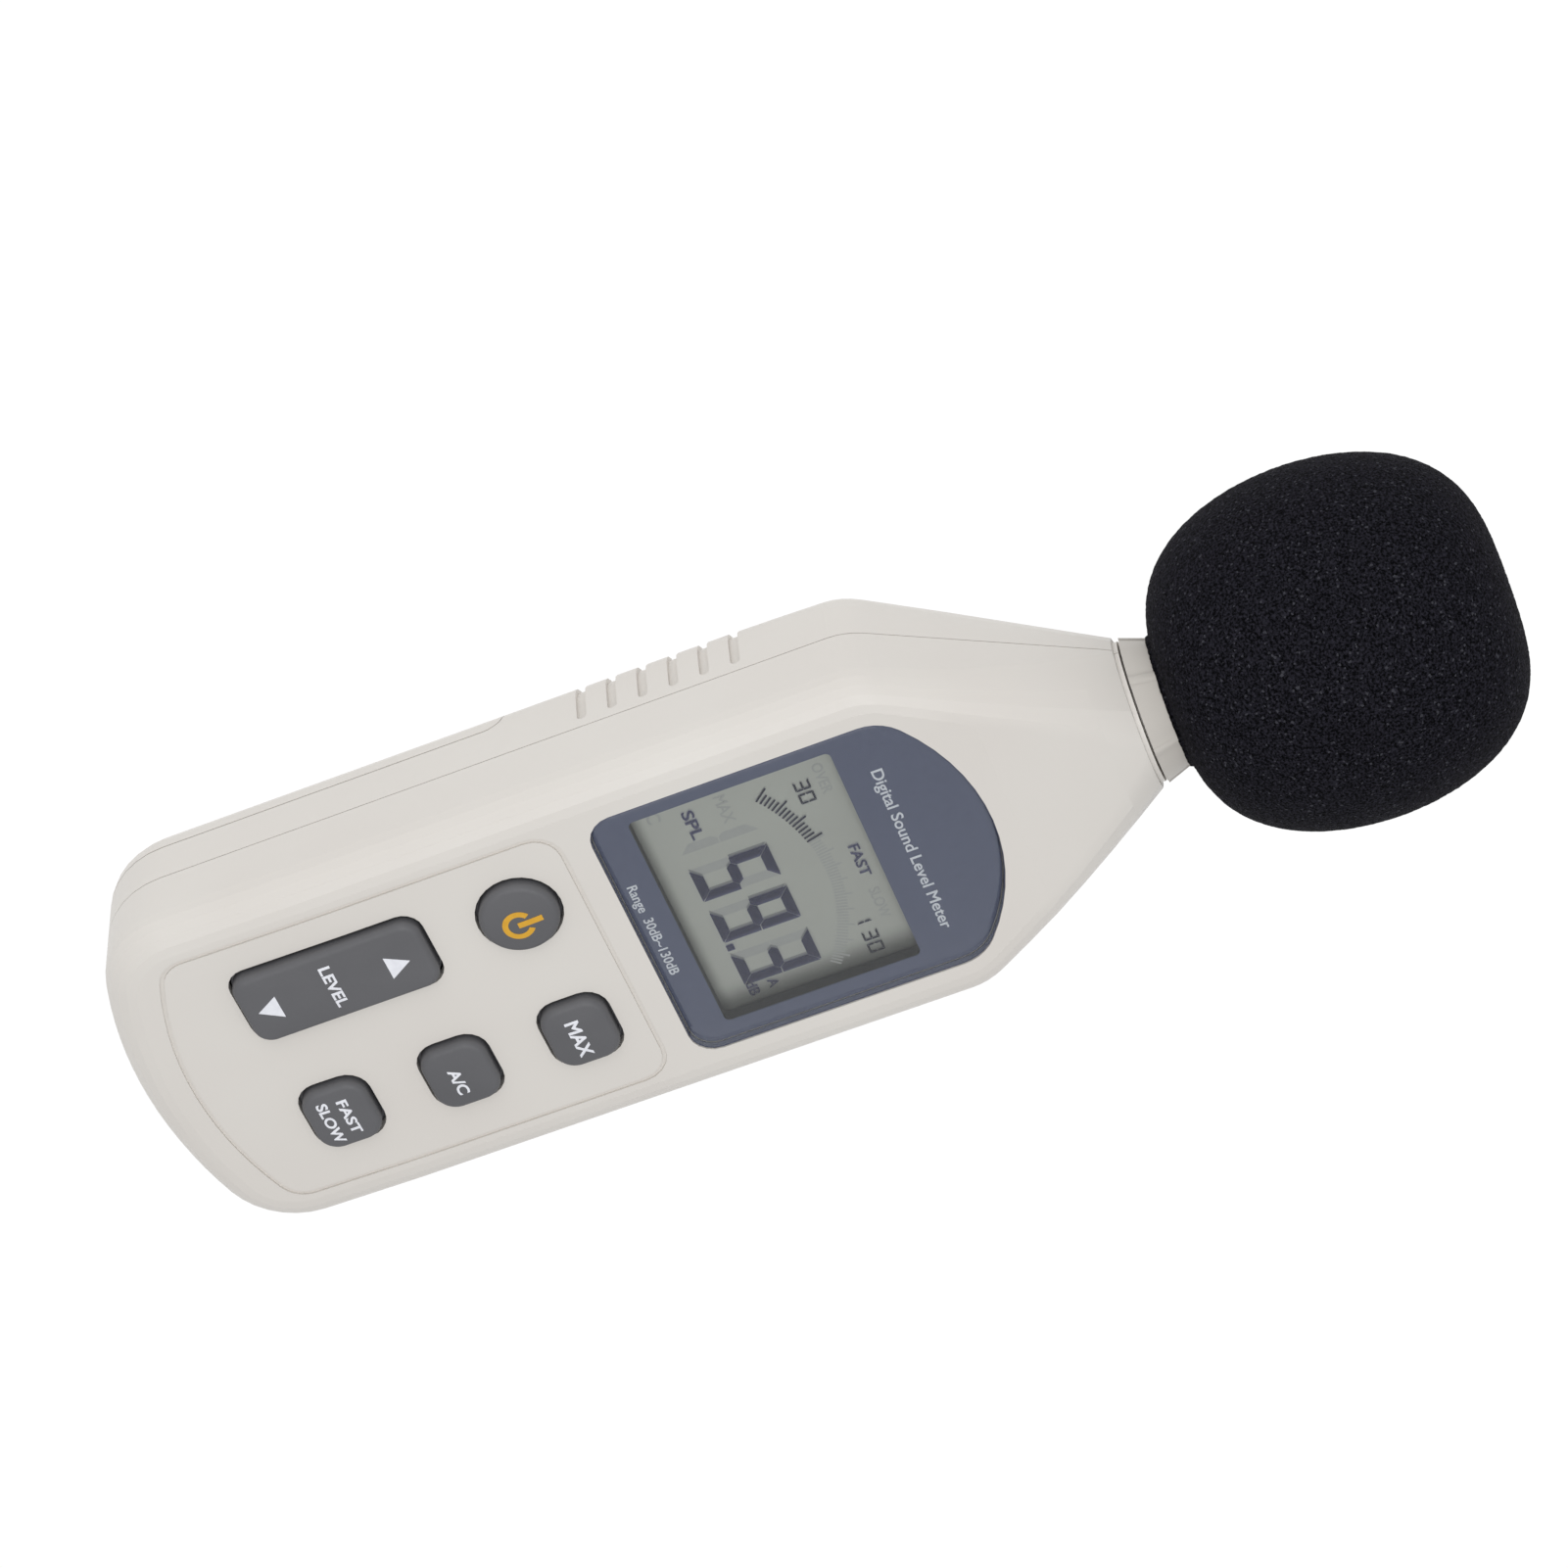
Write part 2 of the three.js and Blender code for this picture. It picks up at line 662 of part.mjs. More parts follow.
function frontShell() {
  let shell = body.intersect(above(partingZ + seam / 2)).subtract(cavity);
  const seat = prism(archedOutline(panel, -ledgeReach), ledgeZ, innerFrontZ + 1).intersect(innerBound);
  shell = shell.add(seat).add(neckLip().intersect(above(partingZ + seam / 2)));
  for (const { x, y } of screws) {
    const boss = rod(x, y, bossRadius, partingZ + seam / 2, innerFrontZ + 0.5);
    shell = shell.add(boss.intersect(innerBound));
  }
  const rebateOuter = casing(wall - tongueWidth - gap);
  const rebateInner = casing(wall + 0.01);
  const slab = block(-reach, reach, bottomY, shoulderY + taperLength - lipLength - 2,
    partingZ, partingZ + tongueHeight + gap);
  shell = shell.subtract(rebateOuter.subtract(rebateInner).intersect(slab));
  shell = shell.subtract(prism(archedOutline(panel), pocketZ, frontZ + 5));
  shell = shell.subtract(prism(windowOutline(windowRoom), ledgeZ - 3, pocketZ + 1));
  for (const key of keys) {
    shell = shell.subtract(prism(keyOutline(key, 0), innerFrontZ - 3, frontZ + 5));
  }
  for (const { x, y, seatZ } of screws) {
    const pilotTop = seatZ + screwLength + 1;
    shell = shell.subtract(rod(x, y, screwRadius + gap, partingZ - 1, pilotTop, 12));
  }
  return shell.subtract(keypadGroove());
}

/** Side outline of the battery cover's zone, shrunk by inset. */
function coverZone(inset) {
  const y0 = bottomY - 5;
  const y1 = coverEndY - inset;
  const z1 = coverSeamZ - inset;
  const bend = coverCorner - inset;
  const points = [
    new THREE.Vector2(y0, -5),
    new THREE.Vector2(y1, -5),
    ...arc(y1 - bend, z1 - bend, bend, 0, 90, 6),
    new THREE.Vector2(y0, z1),
  ];
  return sidePrism(points, reach);
}

const bayHalfX = batteryWidth / 2 + batteryRoom;
const bayTopY = bayBottomY + batteryRoom + batteryLength + studHeight + gap + snapThickness + snapRoom;

/** Battery bay, its deck and the bulkhead behind the cover, all parts of the rear casing. */
function bay() {
  const deckZ = coverSeamZ + seam;
  const deck = block(-halfWidth, halfWidth, bottomY, coverEndY + 1.8, deckZ, deckZ + deckThickness);
  const bulkhead = block(-halfWidth, halfWidth, coverEndY + gap, coverEndY + gap + bayWall,
    wall - 0.5, deckZ + 0.5);
  const box = block(-bayHalfX - bayWall, bayHalfX + bayWall, bayBottomY - bayWall,
    bayTopY + bayWall, deckZ, bayRoofZ + bayRoof);
  const room = block(-bayHalfX, bayHalfX, bayBottomY, bayTopY, -5, bayRoofZ);
  const leadSlot = block(-5, 5, bayTopY - 1, bayTopY + bayWall + 1, bayRoofZ - 4, bayRoofZ - 0.5);
  let shape = deck.add(bulkhead).add(box).subtract(room).subtract(leadSlot);
  for (const side of [-1, 1]) {
    const x = side * tabX;
    const halfSlot = tabWidth / 2 + tabRoom;
    shape = shape.subtract(block(x - halfSlot, x + halfSlot, coverEndY - 1,
      coverEndY + bayWall + 1, wall - 1, wall + gap + tabThickness + tabRoom));
  }
  return shape;
}

/** Grip slots across the back edges of both sides. */
function gripSlots() {
  const skin = casing(slotDepth);
  let cutters = null;
  for (let i = 0; i < slotCount; i += 1) {
    const y = slotFirstY + i * slotPitch;
    for (const side of [-1, 1]) {
      const inner = side * (halfWidth - slotReach);
      const outer = side * (halfWidth + 2);
      const low = Math.min(inner, outer);
      const high = Math.max(inner, outer);
      const straight = block(low, high, y - slotWidth / 2, y + slotWidth / 2, -2,
        slotTopZ - slotWidth / 2);
      const end = new THREE.CylinderGeometry(slotWidth / 2, slotWidth / 2, high - low, 12);
      end.rotateZ(Math.PI / 2);
      end.translate((low + high) / 2, y, slotTopZ - slotWidth / 2);
      const cutter = straight.add(solid(end));
      cutters = cutters ? cutters.add(cutter) : cutter;
    }
  }
  return cutters.subtract(skin);
}

function rearShell() {
  const top = partingZ - seam / 2;
  let shell = body.intersect(below(top)).subtract(cavity).subtract(coverZone(0));
  let inside = bay();
  for (const { x, y, postZ } of screws) inside = inside.add(rod(x, y, postRadius, postZ, top));
  inside = inside.add(rod(0, socketY, insertRadius + insertWall, 1, insertHeight + insertWall));
  shell = shell.add(inside.intersect(innerBound));
  shell = shell.add(neckLip().intersect(below(top)));
  const tongueBand = casing(wall - tongueWidth).subtract(casing(wall + 0.02));
  const slab = block(-reach, reach, bottomY, neckY - lipLength - 3, top - 0.5,
    partingZ + tongueHeight);
  shell = shell.add(tongueBand.intersect(slab));
  for (const { x, y, seatZ } of screws) {
    shell = shell.subtract(rod(x, y, screwHeadRadius + gap, -5, seatZ));
    shell = shell.subtract(rod(x, y, screwRadius + gap, seatZ - 1, top + 1, 12));
  }
  shell = shell.subtract(rod(0, socketY, insertRadius + 0.15, -5, insertHeight + 0.6));
  return shell.subtract(gripSlots());
}

/** Sliding battery cover: the tray that closes the lower back, with two hook tabs and thumb grooves. */
function batteryCover() {
  let cover = body.intersect(coverZone(0.25)).subtract(casing(wall));
  const tabY = coverEndY - tabSink;
  const tabTopZ = wall + gap + tabThickness;
  for (const side of [-1, 1]) {
    const x0 = side * tabX - tabWidth / 2;
    const x1 = side * tabX + tabWidth / 2;
    cover = cover.add(block(x0, x1, tabY, tabY + tabSink + 5, wall + gap, tabTopZ));
    cover = cover.add(block(x0, x1, tabY, tabY + tabSink / 2, wall - 0.5, tabTopZ));
  }
  for (let i = 0; i < ridgeCount; i += 1) {
    const y = coverEndY - ridgeStart - i * ridgePitch;
    const half = ridgeHalfLength - i;
    cover = cover.subtract(block(-half, half, y - ridgeDepth, y + ridgeDepth, -2, ridgeDepth));
  }
  return cover.subtract(prism(labelOutline(labelRoom), -5, labelThickness + 0.1));
}

// ================= display pieces =================

function displayLens() {
  const bottom = frontZ - lensThickness;
  const ring = (inset, z) => archedOutline(panel, inset).map((p) => new THREE.Vector3(p.x, p.y, z));
  const side = lensRoom;
  return loft([ring(side, bottom), ring(side, frontZ - lensBevel), ring(side + lensBevel, frontZ)]);
}

function displayMask() {
  const outer = prism(archedOutline(panel, 0.3), pocketZ + 0.05, pocketZ + 0.05 + maskThickness);
  return outer.subtract(prism(windowOutline(0), pocketZ - 1, frontZ));
}

const glassHalfX = windowHalfWidth + lcdMargin;
const glassHalfY = windowLength / 2 + lcdMargin;
const glassTopZ = ledgeZ - gap;

function lcdGlass() {
  return prism(roundedRectangle(0, windowMiddleY, glassHalfX, glassHalfY, 0.6, 2),
    glassTopZ - lcdThickness, glassTopZ);
}

/** Frame that holds the glass over the board, with a light baffle round its edge. */
function lcdHolder() {
  const frame = (side, corner, low, high) => prism(roundedRectangle(0, windowMiddleY,
    glassHalfX + side, glassHalfY + side, corner, 3), low, high);
  const outer = frame(lcdRoom + lcdFrameWall, 1.5, boardTopZ + gap, glassTopZ);
  return outer.subtract(frame(lcdRoom, 0.8, boardTopZ - 1, glassTopZ + 1));
}

function zebraStrip() {
  const y = windowMiddleY - glassHalfY + 1.6;
  return block(-glassHalfX + 2, glassHalfX - 2, y - 1, y + 1, boardTopZ + 0.1,
    glassTopZ - lcdThickness - 0.1);
}

// ================= board and its components =================

function mainBoard() {
  const x = boardHalfWidth;
  const taperX = halfWidthAt(boardTopY) - wall - 5;
  const points = [
    new THREE.Vector2(x - boardChamfer, boardBottomY),
    new THREE.Vector2(x, boardBottomY + boardChamfer),
    new THREE.Vector2(x, shoulderY - 2),
    new THREE.Vector2(taperX, boardTopY),
    new THREE.Vector2(-taperX, boardTopY),
    new THREE.Vector2(-x, shoulderY - 2),
    new THREE.Vector2(-x, boardBottomY + boardChamfer),
    new THREE.Vector2(-x + boardChamfer, boardBottomY),
  ];
  let board = prism(points, boardBackZ, boardTopZ);
  for (const s of screws) {
    board = board.subtract(rod(s.x, s.y, bossRadius + 0.6, boardBackZ - 1, boardTopZ + 1));
  }
  return board;
}

const parts = {
  processor: { x: 4, y: 12, halfX: 7, halfY: 7, height: 1.4 },
  amplifier: { x: 8, y: 54, halfX: 2.6, halfY: 3.2, height: 1.5 },
  crystal: { x: -12, y: 14, halfX: 2.2, halfY: 5.2, height: 3.4 },
  capacitor: { x: 16, y: 30, halfX: 3.1, height: 7 },
  trimmer: { x: -16, y: 56, halfX: 3.4, halfY: 3.4, height: 4 },
};

/** Part that hangs under the board. */
function underBoard({ x, y, halfX, halfY, height }) {
  const top = boardBackZ - 0.1;
  return block(x - halfX, x + halfX, y - halfY, y + halfY, top - height, top);
}

/** Calibration trimmer: a square base with a slotted wheel under it. */
function trimmer({ x, y, halfX, halfY, height }) {
  const top = boardBackZ - 0.1;
  const wheelZ = top - height;
  const wheel = rod(x, y, 2.4, wheelZ - 1, wheelZ + weld, 16);
  const slot = block(x - 2.5, x + 2.5, y - 0.3, y + 0.3, wheelZ - 2, wheelZ - 0.5);
  return underBoard({ x, y, halfX, halfY, height }).add(wheel).subtract(slot);
}

function capacitor({ x, y, halfX, height }) {
  const top = boardBackZ - 0.1;
  return rod(x, y, halfX, top - height, top, 20);
}

// ================= battery =================

const batteryY = bayBottomY + batteryRoom;

function battery() {
  const half = batteryWidth / 2;
  const y1 = batteryY + batteryLength;
  const z = batteryBottomZ + batteryHeight / 2;
  const outline = roundedRectangle(0, z, half, batteryHeight / 2, 2, 4);
  const small = stud(-studX, z, smallStudRadius, y1);
  const large = stud(studX, z, largeStudRadius, y1);
  return prismAlongY(outline, batteryY, y1).add(small).add(large);
}

/** Prism along +Y of an outline in x and z. */
function prismAlongY(points, y0, y1) {
  const ring = (y) => points.map((p) => new THREE.Vector3(p.x, y, p.y));
  return loft([ring(y0), ring(y1)]);
}

function stud(x, z, radius, y) {
  const points = arc(x, z, radius, 0, 337.5, 15);
  return prismAlongY(points, y - 0.5, y + studHeight);
}

function batterySnap() {
  const y0 = batteryY + batteryLength + studHeight + gap;
  const z = batteryBottomZ + batteryHeight / 2;
  const outline = roundedRectangle(0, z, batteryWidth / 2 - 0.7, 6.4, 5, 5);
  return prismAlongY(outline, y0, y0 + snapThickness);
}

/** Tube along a smooth curve through the points given. */
function lead(points, radius, steps) {
  const curve = new THREE.CatmullRomCurve3(points.map(([x, y, z]) => new THREE.Vector3(x, y, z)));
  const section = new THREE.Shape(arc(0, 0, radius, 0, 300, 5));
  const geometry = new THREE.ExtrudeGeometry(section, { extrudePath: curve, steps });
  return solid(geometry);
}

function batteryLead(side) {
  const y = batteryY + batteryLength + studHeight + gap + snapThickness + gap;
  const z = batteryBottomZ + batteryHeight / 2;
  return lead([
    [side * 2.2, y, z],
    [side * 2.2, y + 2, z + 1],
    [side * 2.4, bayTopY - 0.6, bayRoofZ - 3],
    [side * 2.6, bayTopY + bayWall + 1.5, bayRoofZ - 2.2],
    [side * 2.8, bayTopY + bayWall + 4.5, boardBackZ - 1.8],
    [side * 2.8, bayTopY + bayWall + 5.2, boardBackZ - 0.6],
  ], leadRadius, 14);
}

function foamPad() {
  return block(-9, 9, batteryY + 6, batteryY + batteryLength - 6, wall + 0.05, wall + padThickness);
}

// ================= fasteners, socket and label =================

function caseScrew({ x, y, seatZ }) {
  const seat = seatZ - 0.2;
  const headZ = seat - screwHeadHeight;
  const head = rod(x, y, screwHeadRadius, headZ, seat, 16);
  const shank = rod(x, y, screwRadius, seat - weld, seat + screwLength, 8);
  const slot = (halfX, halfY) => block(x - halfX, x + halfX, y - halfY, y + halfY,
    headZ - 1, headZ + crossDepth);
  const across = slot(crossHalfLength, crossHalfWidth);
  return head.add(shank).subtract(across).subtract(slot(crossHalfWidth, crossHalfLength));
}

function tripodInsert() {
  const outer = rod(0, socketY, insertRadius, 0.2, 0.2 + insertHeight, 32);
  return outer.subtract(rod(0, socketY, socketRadius, -1, insertHeight + 2, 24));
}

function labelOutline(grow) {
  return roundedRectangle(0, labelY, labelWidth / 2 + grow, labelLength / 2 + grow, 1.2, 3);
}

function rearLabel() {
  return prism(labelOutline(0), 0.05, labelThickness);
}

// ================= microphone and windscreen =================

const collarY = neckY + 0.4;
const collarRadius = neckRadius - 0.2;
const sealY = neckY - 2;

/** Collar that the casing grips, flared outside it, with ribs along the flare. */
function micCollar() {
  const bore = barrelRadius + gap;
  const flangeY = neckY - lipLength - gap;
  const profile = [
    [bore, barrelStartY + 1],
    [lipRadius - gap, barrelStartY + 1],
    [lipRadius - gap, flangeY - flangeLength],
    [lipRadius + collarFlange, flangeY - flangeLength],
    [lipRadius + collarFlange, flangeY],
    [lipRadius - gap, flangeY],
    [lipRadius - gap, collarY],
    [collarRadius, collarY],
    [collarEndRadius, collarY + collarLength],
    [bore, collarY + collarLength],
    [bore, sealY + ringRadius + gap],
    [bore + sealGroove, sealY + ringRadius + gap],
    [bore + sealGroove, sealY - ringRadius - gap],
    [bore, sealY - ringRadius - gap],
  ];
  let collar = turnedRing(profile, 36);
  const flare = turnedRing([
    [barrelRadius + 2, collarY],
    [collarRadius + collarRib, collarY],
    [collarEndRadius + collarRib, collarY + collarLength],
    [barrelRadius + 2, collarY + collarLength],
  ], 36);
  for (let i = 0; i < collarRibs; i += 1) {
    const rib = new THREE.BoxGeometry(collarRibWidth, collarLength + 2, 8);
    rib.translate(0, collarY + collarLength / 2, collarRadius);
    rib.rotateY((i * 2 * Math.PI) / collarRibs);
    rib.translate(0, 0, axisZ);
    collar = collar.add(solid(rib).intersect(flare));
  }
  return collar;
}

function micBarrel() {
  return turnedRing([
    [barrelRadius - barrelWall, barrelStartY],
    [barrelRadius, barrelStartY],
    [barrelRadius, barrelEndY],
    [barrelRadius - barrelWall, barrelEndY],
  ], 32);
}

/** Protection grille: a cap with one hole in the middle and a ring of holes round it. */
function micGrille() {
  const y0 = barrelEndY + gap;
  const y1 = y0 + grilleThickness;
  let grille = turned([[0, y0], [barrelRadius, y0], [barrelRadius, y1 - 0.5],
    [barrelRadius - 0.5, y1], [0, y1]], 32);
  const hole = (x, z) => prismAlongY(arc(x, z, 0.8, 0, 300, 5), y0 - 1, y1 + 1);
  grille = grille.subtract(hole(0, axisZ));
  const ringOfHoles = barrelRadius - 3;
  for (let i = 0; i < 8; i += 1) {
    const a = (i * Math.PI) / 4;
    grille = grille.subtract(hole(ringOfHoles * Math.cos(a), axisZ + ringOfHoles * Math.sin(a)));
  }
  return grille;
}

function micCapsule() {
  const y1 = barrelEndY - 0.3;
  const radius = barrelRadius - barrelWall - capsuleRoom;
  return turned([[0, y1 - capsuleLength], [radius, y1 - capsuleLength],
    [radius, y1], [radius - 0.8, y1 + 0.2], [0, y1 + 0.2]], 24);
}

function preampBoard() {
  const y1 = barrelEndY - capsuleLength - 1;
  const halfX = barrelRadius - barrelWall - 1.2;
  return block(-halfX, halfX, y1 - 22, y1, axisZ - 0.5, axisZ + 0.5);
}

function micSeal() {
  const centre = barrelRadius + 0.2 + ringRadius;
  const ring = arc(centre, sealY, ringRadius, 0, 315, 7).map((p) => [p.x, p.y]);
  return turnedRing(ring, 24);
}

function micLead() {
  return lead([
    [0, barrelStartY - 0.4, axisZ],
    [0.4, barrelStartY - 4, axisZ + 0.4],
    [2.5, boardTopY + 1, axisZ + 1.8],
    [4, boardTopY - 4, boardBackZ - 2.6],
    [4.2, boardTopY - 5, boardBackZ - 1],
  ], 1.1, 14);
}

/** Foam windscreen: a barrel-shaped ball with flattened ends, bored to slip over the microphone. */
function windscreen() {
  const start = neckY + screenStart;
  const end = start + screenLength;
  const belly = start + screenLength / 2;
  const bore = barrelRadius + screenFit;
  const boreEnd = barrelEndY + gap + grilleThickness + 1.2;
  const recess = collarEndRadius + screenRecess;
  const entry = collarY + collarLength + 0.5;
  const flat = recess + screenLip;
  const inside = [[0, boreEnd], [bore, boreEnd], [bore, entry], [recess, entry]];
  const profile = [...inside, [recess, start], [flat, start]];
  const steps = 16;
  for (let i = 1; i < steps; i += 1) {
    const a = Math.PI * (1 - i / steps);
    const y = belly + (screenLength / 2) * Math.cos(a);
    const r = screenRadius * Math.sin(a) ** screenBlunt;
    if (r > flat + 1 || y > belly) profile.push([r, y]);
  }
  profile.push([0, end]);
  return turned(profile, 36);
}

// ================= materials =================

function finish(hex, roughness, metalness = 0, opacity = 1) {
  return new THREE.MeshStandardMaterial({
    color: hex,
    roughness,
    metalness,
    opacity,
    transparent: opacity < 1,
  });
}

const shellPlastic = finish(0xd4d0cb, 0.45);
const keyRubber = finish(0x646468, 0.6);
const clearPlastic = finish(0xe8eef2, 0.05, 0, 0.35);
const maskInk = finish(0x626679, 0.4);
const lcdSurface = finish(0x94968e, 0.25);
const holderPlastic = finish(0xf0efec, 0.5);
const blackRubber = finish(0x1c1c1e, 0.8);
const boardGreen = finish(0x1f6b3a, 0.5);
const chipBlack = finish(0x202022, 0.5);
const metal = finish(0xb9bbbd, 0.3, 1);
const brass = finish(0xc8a24a, 0.35, 1);
const batteryJacket = finish(0x3a4a63, 0.4);
const redWire = finish(0xb3201c, 0.5);
const blackWire = finish(0x161616, 0.5);
const foam = finish(0x1c1c20, 0.95);
const labelPaper = finish(0xc9cbce, 0.5);

// ================= assembly =================

const meter = new THREE.Group();
meter.add(piece('front_shell', frontShell(), shellPlastic));
meter.add(piece('rear_shell', rearShell(), shellPlastic));
meter.add(piece('battery_cover', batteryCover(), shellPlastic));
meter.add(piece('display_lens', displayLens(), clearPlastic));
meter.add(piece('display_mask', displayMask(), maskInk));
meter.add(piece('lcd_glass', lcdGlass(), lcdSurface));
meter.add(piece('lcd_holder', lcdHolder(), holderPlastic));
meter.add(piece('lcd_zebra_strip', zebraStrip(), blackRubber));
meter.add(piece('main_board', mainBoard(), boardGreen));
meter.add(piece('keypad_mat', keypadMat(), keyRubber));
for (const key of keys) meter.add(piece(key.name, keySolid(key), keyRubber));
meter.add(piece('processor_chip', underBoard(parts.processor), chipBlack));
meter.add(piece('amplifier_chip', underBoard(parts.amplifier), chipBlack));
meter.add(piece('crystal_can', underBoard(parts.crystal), metal));
meter.add(piece('filter_capacitor', capacitor(parts.capacitor), metal));
meter.add(piece('calibration_trimmer', trimmer(parts.trimmer), chipBlack));
meter.add(piece('battery_9v', battery(), batteryJacket));
meter.add(piece('battery_snap', batterySnap(), blackRubber));
meter.add(piece('battery_lead_red', batteryLead(1), redWire));
meter.add(piece('battery_lead_black', batteryLead(-1), blackWire));
meter.add(piece('battery_pad', foamPad(), foam));
for (const screw of screws) meter.add(piece(screw.name, caseScrew(screw), metal));
meter.add(piece('tripod_insert', tripodInsert(), brass));
meter.add(piece('rear_label', rearLabel(), labelPaper));
meter.add(piece('mic_collar', micCollar(), shellPlastic));
meter.add(piece('mic_barrel', micBarrel(), metal));
meter.add(piece('mic_grille', micGrille(), metal));
meter.add(piece('mic_capsule', micCapsule(), brass));
meter.add(piece('preamp_board', preampBoard(), boardGreen));
meter.add(piece('mic_seal', micSeal(), blackRubber));
meter.add(piece('mic_lead', micLead(), blackWire));
meter.add(piece('windscreen', windscreen(), foam));

export default meter;
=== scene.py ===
# Sound level meter with a foam windscreen: the looks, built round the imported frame.
import json
import math

import bmesh
import bpy
from mathutils import Matrix, Vector


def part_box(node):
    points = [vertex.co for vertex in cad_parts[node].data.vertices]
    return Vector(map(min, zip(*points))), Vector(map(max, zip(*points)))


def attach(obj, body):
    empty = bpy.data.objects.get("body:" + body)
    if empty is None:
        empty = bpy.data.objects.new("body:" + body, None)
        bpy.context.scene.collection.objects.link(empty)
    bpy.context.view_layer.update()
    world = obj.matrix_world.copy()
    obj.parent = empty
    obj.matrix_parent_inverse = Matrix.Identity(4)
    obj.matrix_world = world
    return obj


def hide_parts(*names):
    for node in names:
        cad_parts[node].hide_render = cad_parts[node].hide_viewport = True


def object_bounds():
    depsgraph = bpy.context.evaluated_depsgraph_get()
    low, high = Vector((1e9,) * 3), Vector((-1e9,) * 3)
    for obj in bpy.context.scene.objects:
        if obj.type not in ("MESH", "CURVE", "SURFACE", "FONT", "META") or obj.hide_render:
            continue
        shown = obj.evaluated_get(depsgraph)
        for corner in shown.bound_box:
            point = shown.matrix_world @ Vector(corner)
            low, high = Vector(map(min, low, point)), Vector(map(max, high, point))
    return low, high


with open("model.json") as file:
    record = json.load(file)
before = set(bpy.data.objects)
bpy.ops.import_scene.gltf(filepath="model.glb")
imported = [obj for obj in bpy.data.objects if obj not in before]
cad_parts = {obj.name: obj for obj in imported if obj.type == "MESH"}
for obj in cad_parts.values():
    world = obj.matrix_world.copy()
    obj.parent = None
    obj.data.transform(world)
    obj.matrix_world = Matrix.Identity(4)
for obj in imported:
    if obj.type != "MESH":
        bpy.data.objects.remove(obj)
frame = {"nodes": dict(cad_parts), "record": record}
cadLow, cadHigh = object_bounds()
record = frame["record"]
nodes = frame["nodes"]
mm = 0.001
bodyOf = {node: body for body, members in record["behaviour"]["bodies"].items() for node in members}
slotOf = {part["node"]: part["material_slot"] for part in record["subparts"]}


# helpers for objects, meshes and modifiers
def deselect():
    if bpy.context.object and bpy.context.object.mode != "OBJECT":
        bpy.ops.object.mode_set(mode="OBJECT")
    bpy.ops.object.select_all(action="DESELECT")


def named(name):
    piece = bpy.context.object
    piece.name = name
    piece.data.name = name
    return piece


def activate(piece):
    deselect()
    piece.select_set(True)
    bpy.context.view_layer.objects.active = piece


def fixPlace(piece):
    # the place goes into the mesh, so that the object itself stays at the origin
    activate(piece)
    bpy.ops.object.transform_apply(location=True, rotation=True, scale=True)
    return piece


def chooseFaces(piece, test):
    bpy.ops.mesh.select_mode(type="FACE")
    shape = bmesh.from_edit_mesh(piece.data)
    for face in shape.faces:
        face.select_set(bool(test(face)))
    shape.select_flush_mode()
    bmesh.update_edit_mesh(piece.data)


def applyModifiers(piece):
    activate(piece)
    for modifier in list(piece.modifiers):
        bpy.ops.object.modifier_apply(modifier=modifier.name)


def joined(name, parts):
    deselect()
    for part in parts:
        part.select_set(True)
    bpy.context.view_layer.objects.active = parts[0]
    bpy.ops.object.join()
    return named(name)


def thicken(flat, thick=0.03):
    solid = flat.modifiers.new("ink", "SOLIDIFY")
    solid.thickness = thick * mm
    solid.offset = 1
    applyModifiers(flat)
    return flat


def copyOf(piece, name):
    copy = bpy.data.objects.new(name, piece.data.copy())
    bpy.context.scene.collection.objects.link(copy)
    copy.data.name = name
    return copy


def give(piece, finish):
    piece.data.materials.clear()
    piece.data.materials.append(finish)


def seat(piece, node, stands=True):
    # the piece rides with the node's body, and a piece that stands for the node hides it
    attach(piece, bodyOf[node])
    if stands:
        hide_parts(node)
    return piece


merge = {"distance": 0.002, "flatAngle": 0.6, "faceWeight": 80}


def softCopy(node, name, angle=30):
    # merged copy of a solid, smooth except across edges sharper than the angle
    copy = copyOf(nodes[node], name)
    activate(copy)
    bpy.ops.object.mode_set(mode="EDIT")
    bpy.ops.mesh.select_all(action="SELECT")
    bpy.ops.mesh.remove_doubles(threshold=merge["distance"] * mm)
    bpy.ops.mesh.dissolve_limited(angle_limit=math.radians(merge["flatAngle"]))
    bpy.ops.object.mode_set(mode="OBJECT")
    bpy.ops.object.shade_smooth_by_angle(angle=math.radians(angle))
    flat = copy.modifiers.new("flat", "WEIGHTED_NORMAL")
    flat.keep_sharp = True
    flat.weight = merge["faceWeight"]
    applyModifiers(copy)
    return copy


# camera, floor and lights
studio = {
    "lens": 99.12,
    "sensor": 36,
    "near": 0.01,
    "far": 20,
    "eye": (-0.41086, 0.13505, 0.59963),
    "target": (-0.02063, 0.03313, 0.032),
    "upward": (-0.7488, 0.3309, -0.5742),
    "floorSize": 6.0,
    "floorDrop": 0.0005,
    "floorGlow": 1.02,
    "world": 0.52,
    "worldTint": (0.98, 0.99, 1.0, 1),
}
lamps = [
    {"name": "overhead", "place": (-0.3, 0.15, 1.35), "aim": (0, 0, 0), "size": (0.9, 0.9), "power": 8.4},
    {"name": "left_side", "place": (-1.0, 0.1, 0.5), "aim": (0, 0, 0.02), "size": (0.9, 0.7), "power": 2.0},
]


